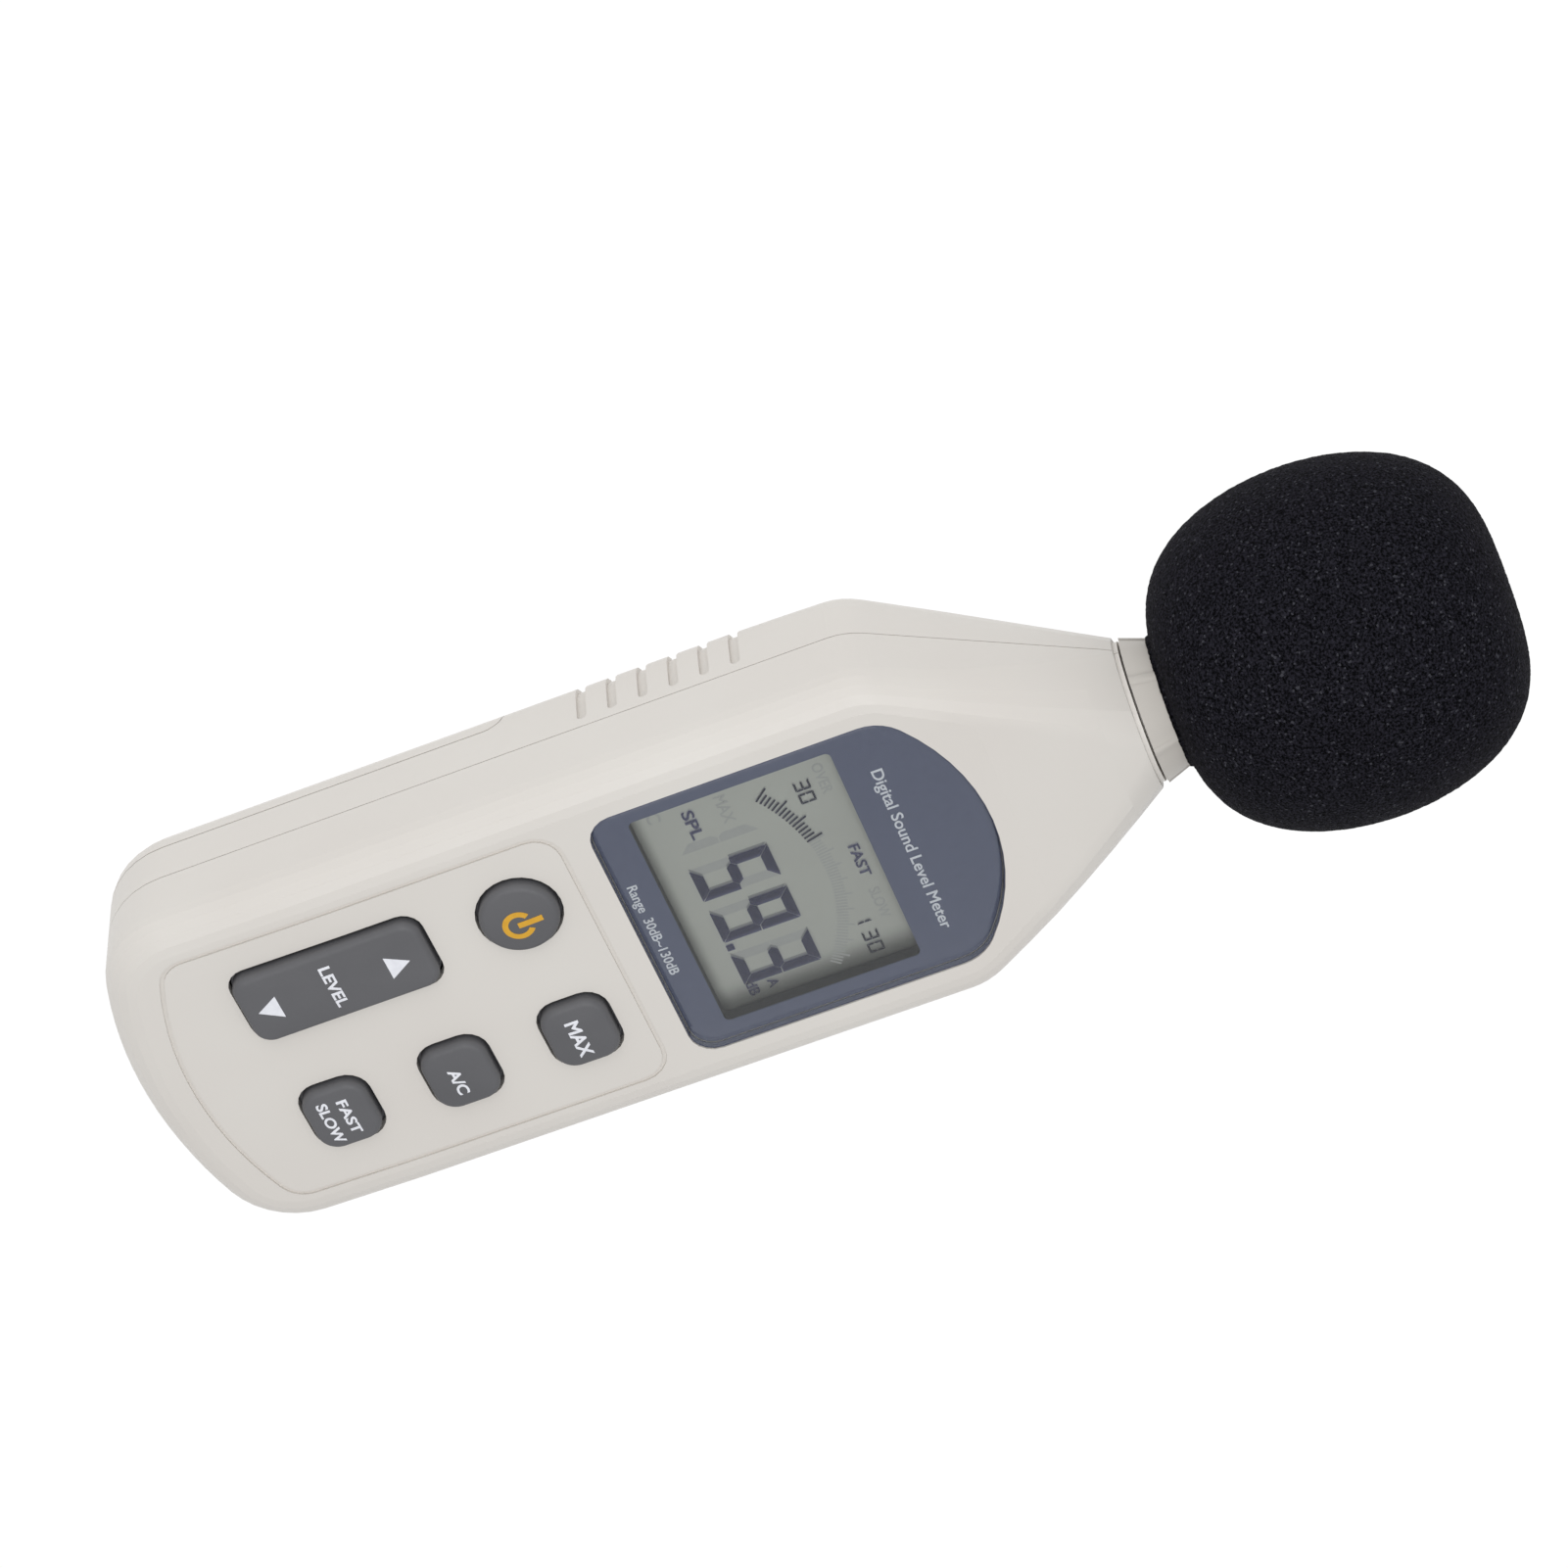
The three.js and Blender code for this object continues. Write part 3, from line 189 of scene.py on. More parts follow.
def addCamera(view):
    lens = bpy.data.cameras.new("camera")
    lens.lens = view["lens"]
    lens.sensor_width = view["sensor"]
    lens.clip_start = view["near"]
    lens.clip_end = view["far"]
    camera = bpy.data.objects.new("camera", lens)
    bpy.context.scene.collection.objects.link(camera)
    eye = Vector(view["eye"])
    forward = (Vector(view["target"]) - eye).normalized()
    right = forward.cross(Vector(view["upward"])).normalized()
    upward = right.cross(forward)
    camera.matrix_world = Matrix.Translation(eye) @ Matrix((right, upward, -forward)).transposed().to_4x4()
    bpy.context.scene.camera = camera


def addLamp(how):
    lamp = bpy.data.lights.new(how["name"], "AREA")
    lamp.shape = "RECTANGLE"
    lamp.size, lamp.size_y = how["size"]
    lamp.energy = how["power"]
    holder = bpy.data.objects.new(how["name"], lamp)
    bpy.context.scene.collection.objects.link(holder)
    holder.location = how["place"]
    holder.rotation_mode = "QUATERNION"
    holder.rotation_quaternion = (Vector(how["aim"]) - Vector(how["place"])).to_track_quat("-Z", "Y")


def addStudio(view):
    scene = bpy.context.scene
    scene.view_settings.view_transform = "Standard"
    world = bpy.data.worlds.new("studio")
    scene.world = world
    world.use_nodes = True
    sky = world.node_tree.nodes["Background"]
    sky.inputs["Color"].default_value = view["worldTint"]
    sky.inputs["Strength"].default_value = view["world"]
    deselect()
    # the foam ball hangs lower than the case's back, so the floor is under the ball
    floorZ = cadLow.z - view["floorDrop"]
    bpy.ops.mesh.primitive_plane_add(size=view["floorSize"], location=(0, 0, floorZ))
    floor = named("floor")
    glow = bpy.data.materials.new("floor_light_table")
    glow.use_nodes = True
    shader = glow.node_tree.nodes["Principled BSDF"]
    shader.inputs["Base Color"].default_value = (0, 0, 0, 1)
    shader.inputs["Specular IOR Level"].default_value = 0
    shader.inputs["Emission Color"].default_value = (1, 1, 1, 1)
    shader.inputs["Emission Strength"].default_value = view["floorGlow"]
    give(floor, glow)
    for lamp in lamps:
        addLamp(lamp)


addCamera(studio)
addStudio(studio)
print("studio ready")


# finishes: one function for each kind of material
def shades(name, **values):
    # a material with its node tree and its Principled shader, whose sockets are set by name
    material = bpy.data.materials.new(name)
    material.use_nodes = True
    tree = material.node_tree
    shader = tree.nodes["Principled BSDF"]
    for socket, value in values.items():
        shader.inputs[socket.replace("_", " ")].default_value = value
    return material, tree, shader


def linear(red, green, blue):
    # a colour as a paint chart gives it, 0 to 255, in the shader's own scale
    shares = [level / 255 for level in (red, green, blue)]
    return (*(c / 12.92 if c <= 0.04045 else ((c + 0.055) / 1.055) ** 2.4 for c in shares), 1)


def objectPlace(tree):
    return tree.nodes.new("ShaderNodeTexCoord").outputs["Object"]


def noise(tree, scale, detail=2.0, roughness=0.5):
    texture = tree.nodes.new("ShaderNodeTexNoise")
    texture.inputs["Scale"].default_value = scale
    texture.inputs["Detail"].default_value = detail
    texture.inputs["Roughness"].default_value = roughness
    tree.links.new(objectPlace(tree), texture.inputs["Vector"])
    return texture.outputs["Fac"]


def spread(tree, value, low, high, fromLow=0.3, fromHigh=0.7):
    ramp = tree.nodes.new("ShaderNodeMapRange")
    ramp.inputs["From Min"].default_value = fromLow
    ramp.inputs["From Max"].default_value = fromHigh
    ramp.inputs["To Min"].default_value = low
    ramp.inputs["To Max"].default_value = high
    tree.links.new(value, ramp.inputs["Value"])
    return ramp.outputs["Result"]


def between(tree, value, first, second):
    mix = tree.nodes.new("ShaderNodeMix")
    mix.data_type = "RGBA"
    for socket, colour in (("A", first), ("B", second)):
        if isinstance(colour, bpy.types.NodeSocket):
            tree.links.new(colour, mix.inputs[socket])
        else:
            mix.inputs[socket].default_value = colour
    tree.links.new(value, mix.inputs["Factor"])
    return mix.outputs["Result"]


def addBump(tree, shader, height, strength, distance):
    bump = tree.nodes.new("ShaderNodeBump")
    bump.inputs["Strength"].default_value = strength
    bump.inputs["Distance"].default_value = distance
    tree.links.new(height, bump.inputs["Height"])
    tree.links.new(bump.outputs["Normal"], shader.inputs["Normal"])


def mouldedPlastic(name, first, second, rough, grain, depth, mottle=28):
    material, tree, shader = shades(name)
    colour = between(tree, spread(tree, noise(tree, mottle), 0, 1), first, second)
    tree.links.new(colour, shader.inputs["Base Color"])
    polish = spread(tree, noise(tree, grain / 3), rough - 0.05, rough + 0.05)
    tree.links.new(polish, shader.inputs["Roughness"])
    addBump(tree, shader, noise(tree, grain, 3, 0.6), 0.5, depth)
    return material


def metal(name, colour, rough, grain):
    material, tree, shader = shades(name, Metallic=1.0)
    darker = tuple(c * 0.82 for c in colour[:3]) + (1,)
    mixed = between(tree, spread(tree, noise(tree, 180), 0, 1), colour, darker)
    tree.links.new(mixed, shader.inputs["Base Color"])
    polish = spread(tree, noise(tree, grain), rough - 0.08, rough + 0.08)
    tree.links.new(polish, shader.inputs["Roughness"])
    addBump(tree, shader, noise(tree, grain), 0.3, 0.02 * mm)
    return material


# flat ink with a second tone mixed in by fine noise: worn print, and also the painted shadow of the
# display's digits
def printInk(name, colour, secondTone):
    material, tree, shader = shades(name)
    mixed = between(tree, spread(tree, noise(tree, 900, 3), 0, 1), colour, secondTone)
    tree.links.new(mixed, shader.inputs["Base Color"])
    shader.inputs["Roughness"].default_value = 0.5
    addBump(tree, shader, noise(tree, 2500), 0.2, 0.01 * mm)
    return material


def clearFilm(name, tint, gloss):
    material, tree, shader = shades(name)
    tree.nodes.remove(shader)
    clear = tree.nodes.new("ShaderNodeBsdfTransparent")
    clear.inputs["Color"].default_value = tint
    shine = tree.nodes.new("ShaderNodeBsdfGlossy")
    shine.inputs["Roughness"].default_value = gloss
    fresnel = tree.nodes.new("ShaderNodeFresnel")
    fresnel.inputs["IOR"].default_value = 1.49
    mix = tree.nodes.new("ShaderNodeMixShader")
    tree.links.new(fresnel.outputs["Fac"], mix.inputs["Fac"])
    tree.links.new(clear.outputs["BSDF"], mix.inputs[1])
    tree.links.new(shine.outputs["BSDF"], mix.inputs[2])
    tree.links.new(mix.outputs["Shader"], tree.nodes["Material Output"].inputs["Surface"])
    return material


def foamFinish(v):
    # dark cells, paler struts between them and painted glints: a few random cells painted paler where
    # struts would catch the light; the dark cell tone is painted shade in the pores, following the same
    # grain that raises the bump, with random tone besides
    material, tree, shader = shades("foam_cells", Roughness=0.8, Specular_IOR_Level=v["shine"])
    cells = tree.nodes.new("ShaderNodeTexVoronoi")
    cells.inputs["Scale"].default_value = 1 / (v["cell"] * mm)
    tree.links.new(objectPlace(tree), cells.inputs["Vector"])
    grain = noise(tree, 1 / (v["grain"] * mm), 3, 0.6)
    # painted shade: darker where the grain, and so the bump, is low
    struts = between(tree, spread(tree, grain, 0, 1, v["from"], v["to"]), v["pit"], v["strut"])
    chance = tree.nodes.new("ShaderNodeSeparateColor")
    tree.links.new(cells.outputs["Color"], chance.inputs["Color"])
    # painted glints: a few random cells painted paler
    glint = spread(tree, chance.outputs["Red"], 0, 1, v["glints"], v["glints"] + 0.02)
    tree.links.new(between(tree, glint, struts, v["glint"]), shader.inputs["Base Color"])
    depth = tree.nodes.new("ShaderNodeMath")
    depth.operation = "ADD"
    tree.links.new(cells.outputs["Distance"], depth.inputs[0])
    tree.links.new(grain, depth.inputs[1])
    addBump(tree, shader, depth.outputs["Value"], 1.0, v["cell"] * 0.5 * mm)
    return material


def reflectorFinish(v):
    # satin reflector, with painted shade of the window's frame along two of its edges
    material = mouldedPlastic("lcd_reflector", v["light"], v["dark"], 0.5, 1400, 0.006 * mm)
    tree = material.node_tree
    shader = tree.nodes["Principled BSDF"]
    colour = shader.inputs["Base Color"].links[0].from_socket
    axes = tree.nodes.new("ShaderNodeSeparateXYZ")
    tree.links.new(objectPlace(tree), axes.inputs["Vector"])
    # painted shade: the colour is multiplied down towards the window's +X and -Y edges
    for axis, (start, end, least) in v["shade"].items():
        ramp = tree.nodes.new("ShaderNodeMapRange")
        ramp.interpolation_type = "SMOOTHSTEP"
        ramp.inputs["From Min"].default_value = start * mm
        ramp.inputs["From Max"].default_value = end * mm
        ramp.inputs["To Min"].default_value = least
        ramp.inputs["To Max"].default_value = 1
        tree.links.new(axes.outputs[axis], ramp.inputs["Value"])
        mix = tree.nodes.new("ShaderNodeMix")
        mix.data_type = "RGBA"
        mix.blend_type = "MULTIPLY"
        mix.inputs["Factor"].default_value = 1
        tree.links.new(colour, mix.inputs["A"])
        tree.links.new(ramp.outputs["Result"], mix.inputs["B"])
        colour = mix.outputs["Result"]
    tree.links.new(colour, shader.inputs["Base Color"])
    return material


foam = {
    "cell": 0.36,
    "grain": 0.42,
    "from": 0.4,
    "to": 0.66,
    "glints": 0.965,
    "shine": 0.04,
    # pit is painted shade in the pores; glint is a painted glint
    "pit": linear(4, 4, 6),
    "strut": linear(42, 41, 49),
    "glint": linear(62, 62, 68),
}
reflector = {
    "light": linear(187, 188, 180),
    "dark": linear(181, 181, 174),
    # painted shade along two edges: where it is darkest and where it fades out, in millimetres, and the
    # least share of the colour
    "shade": {"X": (22.4, 16.8, 0.2), "Y": (6.4, 8.6, 0.5)},
}
finishes = {
    "shell": mouldedPlastic(
        "shell_plastic", linear(220, 216, 210), linear(217, 212, 206), 0.46, 2600, 0.012 * mm
    ),
    "key_rubber": mouldedPlastic(
        "key_rubber", linear(96, 96, 99), linear(91, 91, 94), 0.56, 3200, 0.014 * mm, 60
    ),
    "white_plastic": mouldedPlastic(
        "white_plastic", linear(225, 224, 220), linear(215, 214, 210), 0.4, 1800, 0.01 * mm
    ),
    "black_rubber": mouldedPlastic(
        "black_rubber", linear(34, 34, 36), linear(26, 26, 28), 0.7, 2400, 0.02 * mm
    ),
    "board": mouldedPlastic(
        "board_green", linear(28, 92, 58), linear(20, 76, 48), 0.4, 1500, 0.01 * mm, 120
    ),
    "chip": mouldedPlastic(
        "chip_black", linear(30, 30, 32), linear(24, 24, 25), 0.55, 2600, 0.01 * mm
    ),
    "battery_jacket": mouldedPlastic(
        "battery_jacket", linear(54, 60, 72), linear(44, 50, 60), 0.35, 900, 0.01 * mm
    ),
    "red_wire": mouldedPlastic(
        "wire_red", linear(176, 34, 30), linear(158, 28, 26), 0.45, 1500, 0.01 * mm
    ),
    "label": mouldedPlastic(
        "label_paper", linear(226, 226, 224), linear(218, 218, 216), 0.5, 2200, 0.008 * mm
    ),
    "steel": metal("steel", (0.62, 0.62, 0.64, 1), 0.34, 900),
    "brass": metal("brass", (0.72, 0.55, 0.28, 1), 0.32, 900),
    "aluminium": metal("aluminium", (0.78, 0.78, 0.8, 1), 0.36, 1200),
    "mask_ink": printInk("mask_ink", linear(92, 98, 124), linear(88, 94, 120)),
    "lcd": reflectorFinish(reflector),
    "lens": clearFilm("lens_acrylic", (0.97, 0.98, 0.98, 1), 0.04),
    "foam": foamFinish(foam),
}
collarPlastic = mouldedPlastic(
    "collar_plastic", linear(205, 200, 193), linear(201, 196, 189), 0.46, 2600, 0.012 * mm
)
whiteInk = printInk("white_ink", linear(238, 239, 245), linear(228, 229, 236))
amberInk = printInk("amber_ink", linear(222, 168, 44), linear(212, 158, 40))
darkSegment = clearFilm("segment_dark", (0.5, 0.5, 0.68, 1), 0.3)
fineSegment = clearFilm("segment_fine", (0.3, 0.3, 0.42, 1), 0.3)
# painted shadow of the lit digits on the reflector
segmentShadow = printInk("segment_shadow", linear(140, 141, 140), linear(136, 137, 136))
ghostSegment = printInk("segment_ghost", linear(173, 173, 170), linear(169, 169, 167))
# black of the window liner: painted shade of the window's recess
linerPlastic = mouldedPlastic(
    "liner_black", linear(26, 26, 28), linear(22, 22, 24), 0.6, 1800, 0.01 * mm
)
for node, piece in nodes.items():
    give(piece, finishes[slotOf[node]])
print("finishes ready")


# casing: smooth copies of the solids
smoothAngle = {
    "front_shell": 14,
    "rear_shell": 30,
    "battery_cover": 30,
    "mic_collar": 30,
    "mic_barrel": 30,
    "mic_grille": 30,
    "tripod_insert": 30,
    "case_screw_1": 30,
    "case_screw_2": 30,
    "case_screw_3": 30,
    "case_screw_4": 30,
    "display_lens": 20,
}
grip = {
    "firstY": 4.1,
    "pitch": 5.41,
    "count": 6,
    "halfWidth": 0.9,
    "within": 0.95,
    "endZ": 12.9,
    "rampZ": 1.2,
    "lift": 0.25,
    "fromX": 26,
}


def raiseGrooves(skin, v):
    # the grip grooves of the sides are moulded shallower than the solid's
    places = [v["firstY"] + i * v["pitch"] for i in range(v["count"])]
    reach = v["halfWidth"] * v["within"]
    moves = {}
    for face in skin.data.polygons:
        x, y, z = face.center / mm
        outside = abs(x) > v["fromX"] and z < v["endZ"] + v["rampZ"]
        floor = abs(face.normal.y) < 0.3 and (abs(face.normal.x) > 0.5 or z < v["endZ"])
        if outside and floor and any(abs(y - place) < reach for place in places):
            outward = face.normal.dot(Vector((math.copysign(1, x), 0, -0.6))) > 0
            for index in face.vertices if outward else ():
                moves.setdefault(index, []).append(face.normal.copy())
    for index, normals in moves.items():
        skin.data.vertices[index].co += sum(normals, Vector()).normalized() * v["lift"] * mm


for node, angle in smoothAngle.items():
    skin = softCopy(node, node + "_skin", angle)
    if node == "rear_shell":
        raiseGrooves(skin, grip)
    give(skin, collarPlastic if node == "mic_collar" else finishes[slotOf[node]])
    seat(skin, node)


def lensEdge():
    # the ink's colour shows in the clear edge of the lens, all round
    edge = softCopy("display_lens", "lens_edge", smoothAngle["display_lens"])
    activate(edge)
    bpy.ops.object.mode_set(mode="EDIT")
    chooseFaces(edge, lambda face: abs(face.normal.z) > 0.3)
    bpy.ops.mesh.delete(type="FACE")
    bpy.ops.mesh.select_all(action="SELECT")
    bpy.ops.transform.shrink_fatten(value=0.05 * mm)
    bpy.ops.object.mode_set(mode="OBJECT")
    give(thicken(edge, 0.06), finishes["mask_ink"])
    seat(edge, "display_mask", stands=False)


lensEdge()
print("casing ready")


# keys: rounded caps on the solids' flanges
keyShape = {
    "flange": 1.3,
    "overlap": 0.2,
    "shrink": 0.2,
    "edge": 1.2,
    "drop": 1.1,
    "skirt": 2.6,
    "dome": 0.35,
    "rings": 8,
    "crownRings": 6,
}
keys = {
    "power_key": {"corner": None},
    "level_key": {"corner": 3.15, "flangeY": 0},
    "max_key": {"corner": 3.75},
    "weighting_key": {"corner": 3.75},
    "response_key": {"corner": 3.75},
}


def keyCap(node, how):
    low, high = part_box(node)
    middle = (low + high) / 2
    flange = keyShape["flange"] * mm
    shrink = keyShape["shrink"] * mm
    halfX = (high.x - low.x) / 2 - flange - shrink
    halfY = (high.y - low.y) / 2 - how.get("flangeY", 1) * flange - shrink
    shoulderZ = high.z - (keyShape["dome"] + keyShape["drop"]) * mm
    skirtZ = shoulderZ - keyShape["skirt"] * mm
    deselect()
    if how["corner"] is None:
        place = (middle.x, middle.y, skirtZ)
        bpy.ops.mesh.primitive_circle_add(vertices=96, radius=halfX, fill_type="NGON", location=place)
        cap = fixPlace(named(node + "_cap"))
        bpy.ops.object.mode_set(mode="EDIT")
    else:
        bpy.ops.mesh.primitive_plane_add(size=1, location=(middle.x, middle.y, skirtZ))
        cap = named(node + "_cap")
        cap.scale = (2 * halfX, 2 * halfY, 1)
        fixPlace(cap)
        bpy.ops.object.mode_set(mode="EDIT")
        bpy.ops.mesh.select_all(action="SELECT")
        bpy.ops.mesh.bevel(offset=how["corner"] * mm, segments=16, affect="VERTICES")
    bpy.ops.mesh.select_all(action="SELECT")
    rise = shoulderZ - skirtZ
    bpy.ops.mesh.extrude_region_move(TRANSFORM_OT_translate={"value": (0, 0, rise)})
    turn = math.pi / 2 / keyShape["rings"]
    for ring in range(keyShape["rings"]):
        inward = keyShape["edge"] * (math.cos(ring * turn) - math.cos((ring + 1) * turn))
        upward = keyShape["drop"] * (math.sin((ring + 1) * turn) - math.sin(ring * turn))
        bpy.ops.mesh.inset(thickness=inward * mm, depth=upward * mm)
    share = 1.0
    for ring in range(1, keyShape["crownRings"]):
        newShare = 1 - ring / keyShape["crownRings"]
        lift = keyShape["dome"] * (share ** 2 - newShare ** 2)
        bpy.ops.mesh.extrude_region_move(TRANSFORM_OT_translate={"value": (0, 0, lift * mm)})
        factor = newShare / share
        bpy.ops.transform.resize(value=(factor, factor, 1), center_override=(middle.x, middle.y, 0))
        share = newShare
    bpy.ops.object.mode_set(mode="OBJECT")
    bpy.ops.object.shade_smooth_by_angle(angle=math.radians(40))
    return cap


def keyFoot(node, cap):
    # flange and stem behind the front, up to the foot of the cap
    cutZ = min(v.co.z for v in cap.data.vertices) + keyShape["overlap"] * mm
    foot = softCopy(node, node + "_foot")
    activate(foot)
    bpy.ops.object.mode_set(mode="EDIT")
    bpy.ops.mesh.select_all(action="SELECT")
    bpy.ops.mesh.bisect(plane_co=(0, 0, cutZ), plane_no=(0, 0, 1), use_fill=True, clear_outer=True)
    bpy.ops.object.mode_set(mode="OBJECT")
    bpy.ops.object.shade_smooth_by_angle(angle=math.radians(30))
    return foot


caps = {}
for node, how in keys.items():
    cap = keyCap(node, how)
    give(cap, finishes["key_rubber"])
    foot = keyFoot(node, cap)
    give(foot, finishes["key_rubber"])
    caps[node] = cap
    seat(cap, node)
    seat(foot, node)
print("keys ready")


# printed legends, laid on the keys and the panel
def letters(name, words, left, right, bottom, top, z, bold=0.02, thick=0.03):
    # raised lettering fitted to a box in millimetres; bold is a share of the type size
    deselect()
    bpy.ops.object.text_add(location=(0, 0, 0))
    text = bpy.context.object
    text.data.body = words
    text.data.size = 1
    text.data.resolution_u = 4
    text.data.extrude = 0.01
    text.data.bevel_depth = bold
    text.data.bevel_resolution = 1
    bpy.ops.object.convert(target="MESH")
    raised = named(name)
    spans = [[v.co[axis] for v in raised.data.vertices] for axis in range(3)]
    starts = [min(span) for span in spans]
    sizes = (right - left, top - bottom, thick)
    scales = [size * mm / (max(span) - start) for size, span, start in zip(sizes, spans, starts)]
    toCorner = Matrix.Translation([-start for start in starts])
    fit = Matrix.Translation((left * mm, bottom * mm, z)) @ Matrix.Diagonal((*scales, 1))
    raised.data.transform(fit @ toCorner)
    return raised


def refine(piece, cuts):
    activate(piece)
    bpy.ops.object.mode_set(mode="EDIT")
    bpy.ops.mesh.select_all(action="SELECT")
    bpy.ops.mesh.subdivide(number_cuts=cuts)
    bpy.ops.object.mode_set(mode="OBJECT")
    return piece


def layOn(piece, target, lift=0.02):
    # each point keeps its own height above the surface right under it
    for vertex in piece.data.vertices:
        x, y, z = vertex.co
        hit, place, _, _ = target.ray_cast(Vector((x, y, 1)), Vector((0, 0, -1)))
        if hit:
            vertex.co.z = place.z + z + lift * mm
    return piece


def triangle(name, x, base, tip, half, z):
    deselect()
    bpy.ops.mesh.primitive_circle_add(vertices=3, radius=1, fill_type="NGON")
    mark = named(name)
    corners = sorted(mark.data.vertices, key=lambda v: v.co.y)
    if tip < base:
        corners.reverse()
    ends = sorted(corners[:2], key=lambda v: v.co.x)
    if abs(corners[0].co.y - corners[1].co.y) > 0.1:
        ends = sorted(corners[1:], key=lambda v: v.co.x)
        corners = [ends[0], ends[1], corners[0]]
    corners[2].co = Vector((x, tip, 0)) * mm
    ends[0].co = Vector((x - half, base, 0)) * mm
    ends[1].co = Vector((x + half, base, 0)) * mm
    for v in mark.data.vertices:
        v.co.z = z
    return mark


def powerMark(v, z):
    # an open ring and the bar that stands in its opening
    deselect()
    bpy.ops.mesh.primitive_circle_add(vertices=96, radius=v["outer"] * mm, fill_type="NGON")
    ring = named("power_ring")
    bpy.ops.object.mode_set(mode="EDIT")
    bpy.ops.mesh.select_all(action="SELECT")
    bpy.ops.mesh.inset(thickness=(v["outer"] - v["inner"]) * mm, depth=0)
    bpy.ops.mesh.delete(type="FACE")
    opening = math.radians(v["opening"])

    def inOpening(face):
        middle = face.calc_center_median()
        return abs(math.atan2(middle.x, middle.y)) < opening

    chooseFaces(ring, inOpening)
    bpy.ops.mesh.delete(type="FACE")
    bpy.ops.object.mode_set(mode="OBJECT")
    deselect()
    bpy.ops.mesh.primitive_plane_add(size=1, location=(0, (v["barLow"] + v["barHigh"]) / 2 * mm, 0))
    bar = named("power_bar")
    bar.scale = (v["barWidth"] * mm, (v["barHigh"] - v["barLow"]) * mm, 1)
    fixPlace(bar)
    mark = joined("power_mark", [ring, bar])
    mark.data.transform(Matrix.Translation((v["x"] * mm, v["y"] * mm, z)))
    return mark


powerSign = {
    "x": -13.2,
    "y": -16.35,
    "outer": 2.75,
    "inner": 1.75,
    "opening": 33,
    "barLow": -0.1,
    "barHigh": 4.2,
    "barWidth": 1.1,
}
keyWords = [
    ("max_mark", "MAX", "max_key", (8.9, 16.75, -17.6, -15.1)),
    ("weighting_mark", "A/C", "weighting_key", (10.1, 15.75, -39.3, -37.2)),
    ("fast_mark", "FAST", "response_key", (8.75, 16.3, -59.0, -57.1)),
    ("slow_mark", "SLOW", "response_key", (8.2, 17.2, -62.5, -60.5)),
    ("level_mark", "LEVEL", "level_key", (-18.2, -9.5, -50.1, -48.05)),
]


keyBold = 0.03
triangles = [("level_up", -39.4, -35.5), ("level_down", -58.8, -62.7)]
triangleX = -13.7
triangleHalf = 2.3


def printKeys():
    for name, words, node, (left, right, bottom, top) in keyWords:
        mark = layOn(letters(name, words, left, right, bottom, top, 0, keyBold), caps[node])
        give(mark, whiteInk)
        seat(mark, node, stands=False)
    for name, base, tip in triangles:
        mark = refine(triangle(name, triangleX, base, tip, triangleHalf, 0), 4)
        give(layOn(thicken(mark), caps["level_key"]), whiteInk)
        seat(mark, "level_key", stands=False)
    mark = refine(powerMark(powerSign, 0), 3)
    give(layOn(thicken(mark), caps["power_key"]), amberInk)
    seat(mark, "power_key", stands=False)


printKeys()
panelBold = 0.016
panelWords = [
    ("title_line", "Digital Sound Level Meter", (-16.0, 18.9, 45.85, 48.5)),
    ("range_line", "Range  30dB~130dB", (-10.4, 9.4, 1.1, 3.4)),
]
for name, words, (left, right, bottom, top) in panelWords:
    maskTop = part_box("display_mask")[1].z
    line = letters(name, words, left, right, bottom, top, maskTop + 0.01 * mm, panelBold)
    give(line, whiteInk)
    seat(line, "display_mask", stands=False)
print("legends ready")


# display: glass, segments, arc scale and window liner
lcd = {
    "backDrop": 0.65,
    "inkLift": 0.35,
    "ghostLift": 0.005,
    # the digits' painted shadow: its height over the reflector and its sideways shift, in millimetres
    "shadowLift": 0.025,
    "shadowShift": (-0.42, 0.05),
    "digitLeft": [-7.3, 2.0, 11.7],
    "digitWidth": 6.85,
    "digitLow": 11.6,
    "digitHigh": 25.4,
    "bar": 1.8,
    "barGap": 0.1,
    "reading": "593",
    "point": [(9.5, 11.6), (10.8, 11.6), (10.8, 12.9), (9.5, 12.9)],
    "leadDigitLeft": -17.4,
}
sevenBars = {"0": "abcdef", "1": "bc", "3": "abgcd", "5": "afgcd", "9": "abcdfg"}


def plate(name, corners):
    # a thin plate with the given corners, anticlockwise
    deselect()
    bpy.ops.mesh.primitive_circle_add(vertices=len(corners), radius=mm, fill_type="NGON")
    flat = named(name)
    for vertex, (x, y) in zip(flat.data.vertices, corners):
        vertex.co = Vector((x, y, 0)) * mm
    return thicken(flat, 0.01)


def figure(name, bars, left, low, wide, tall, thick, gap):
    # bars with mitred ends, as on a display: a top, b and c right, d bottom, e and f left, g middle
    mid = tall / 2
    inner = thick + gap
    nose = thick * 0.6
    top = [(gap, tall), (inner, tall - thick), (wide - inner, tall - thick), (wide - gap, tall)]
    upper = [
        (0, tall - gap),
        (0, mid + gap),
        (nose, mid + gap),
        (thick, mid + thick / 2 + gap),
        (thick, tall - inner),
    ]
    middle = [
        (nose + gap, mid),
        (inner, mid - thick / 2),
        (wide - inner, mid - thick / 2),
        (wide - nose - gap, mid),
        (wide - inner, mid + thick / 2),
        (inner, mid + thick / 2),
    ]

    def across(points):
        return [(wide - x, y) for x, y in reversed(points)]

    def below(points):
        return [(x, tall - y) for x, y in reversed(points)]

    shapes = {"a": top, "d": below(top), "f": upper, "b": across(upper), "e": below(upper), "g": middle}
    shapes["c"] = across(shapes["e"])
    plates = []
    for bar in bars:
        plates.append(plate(f"{name}_{bar}", [(left + x, low + y) for x, y in shapes[bar]]))
    return joined(name, plates)


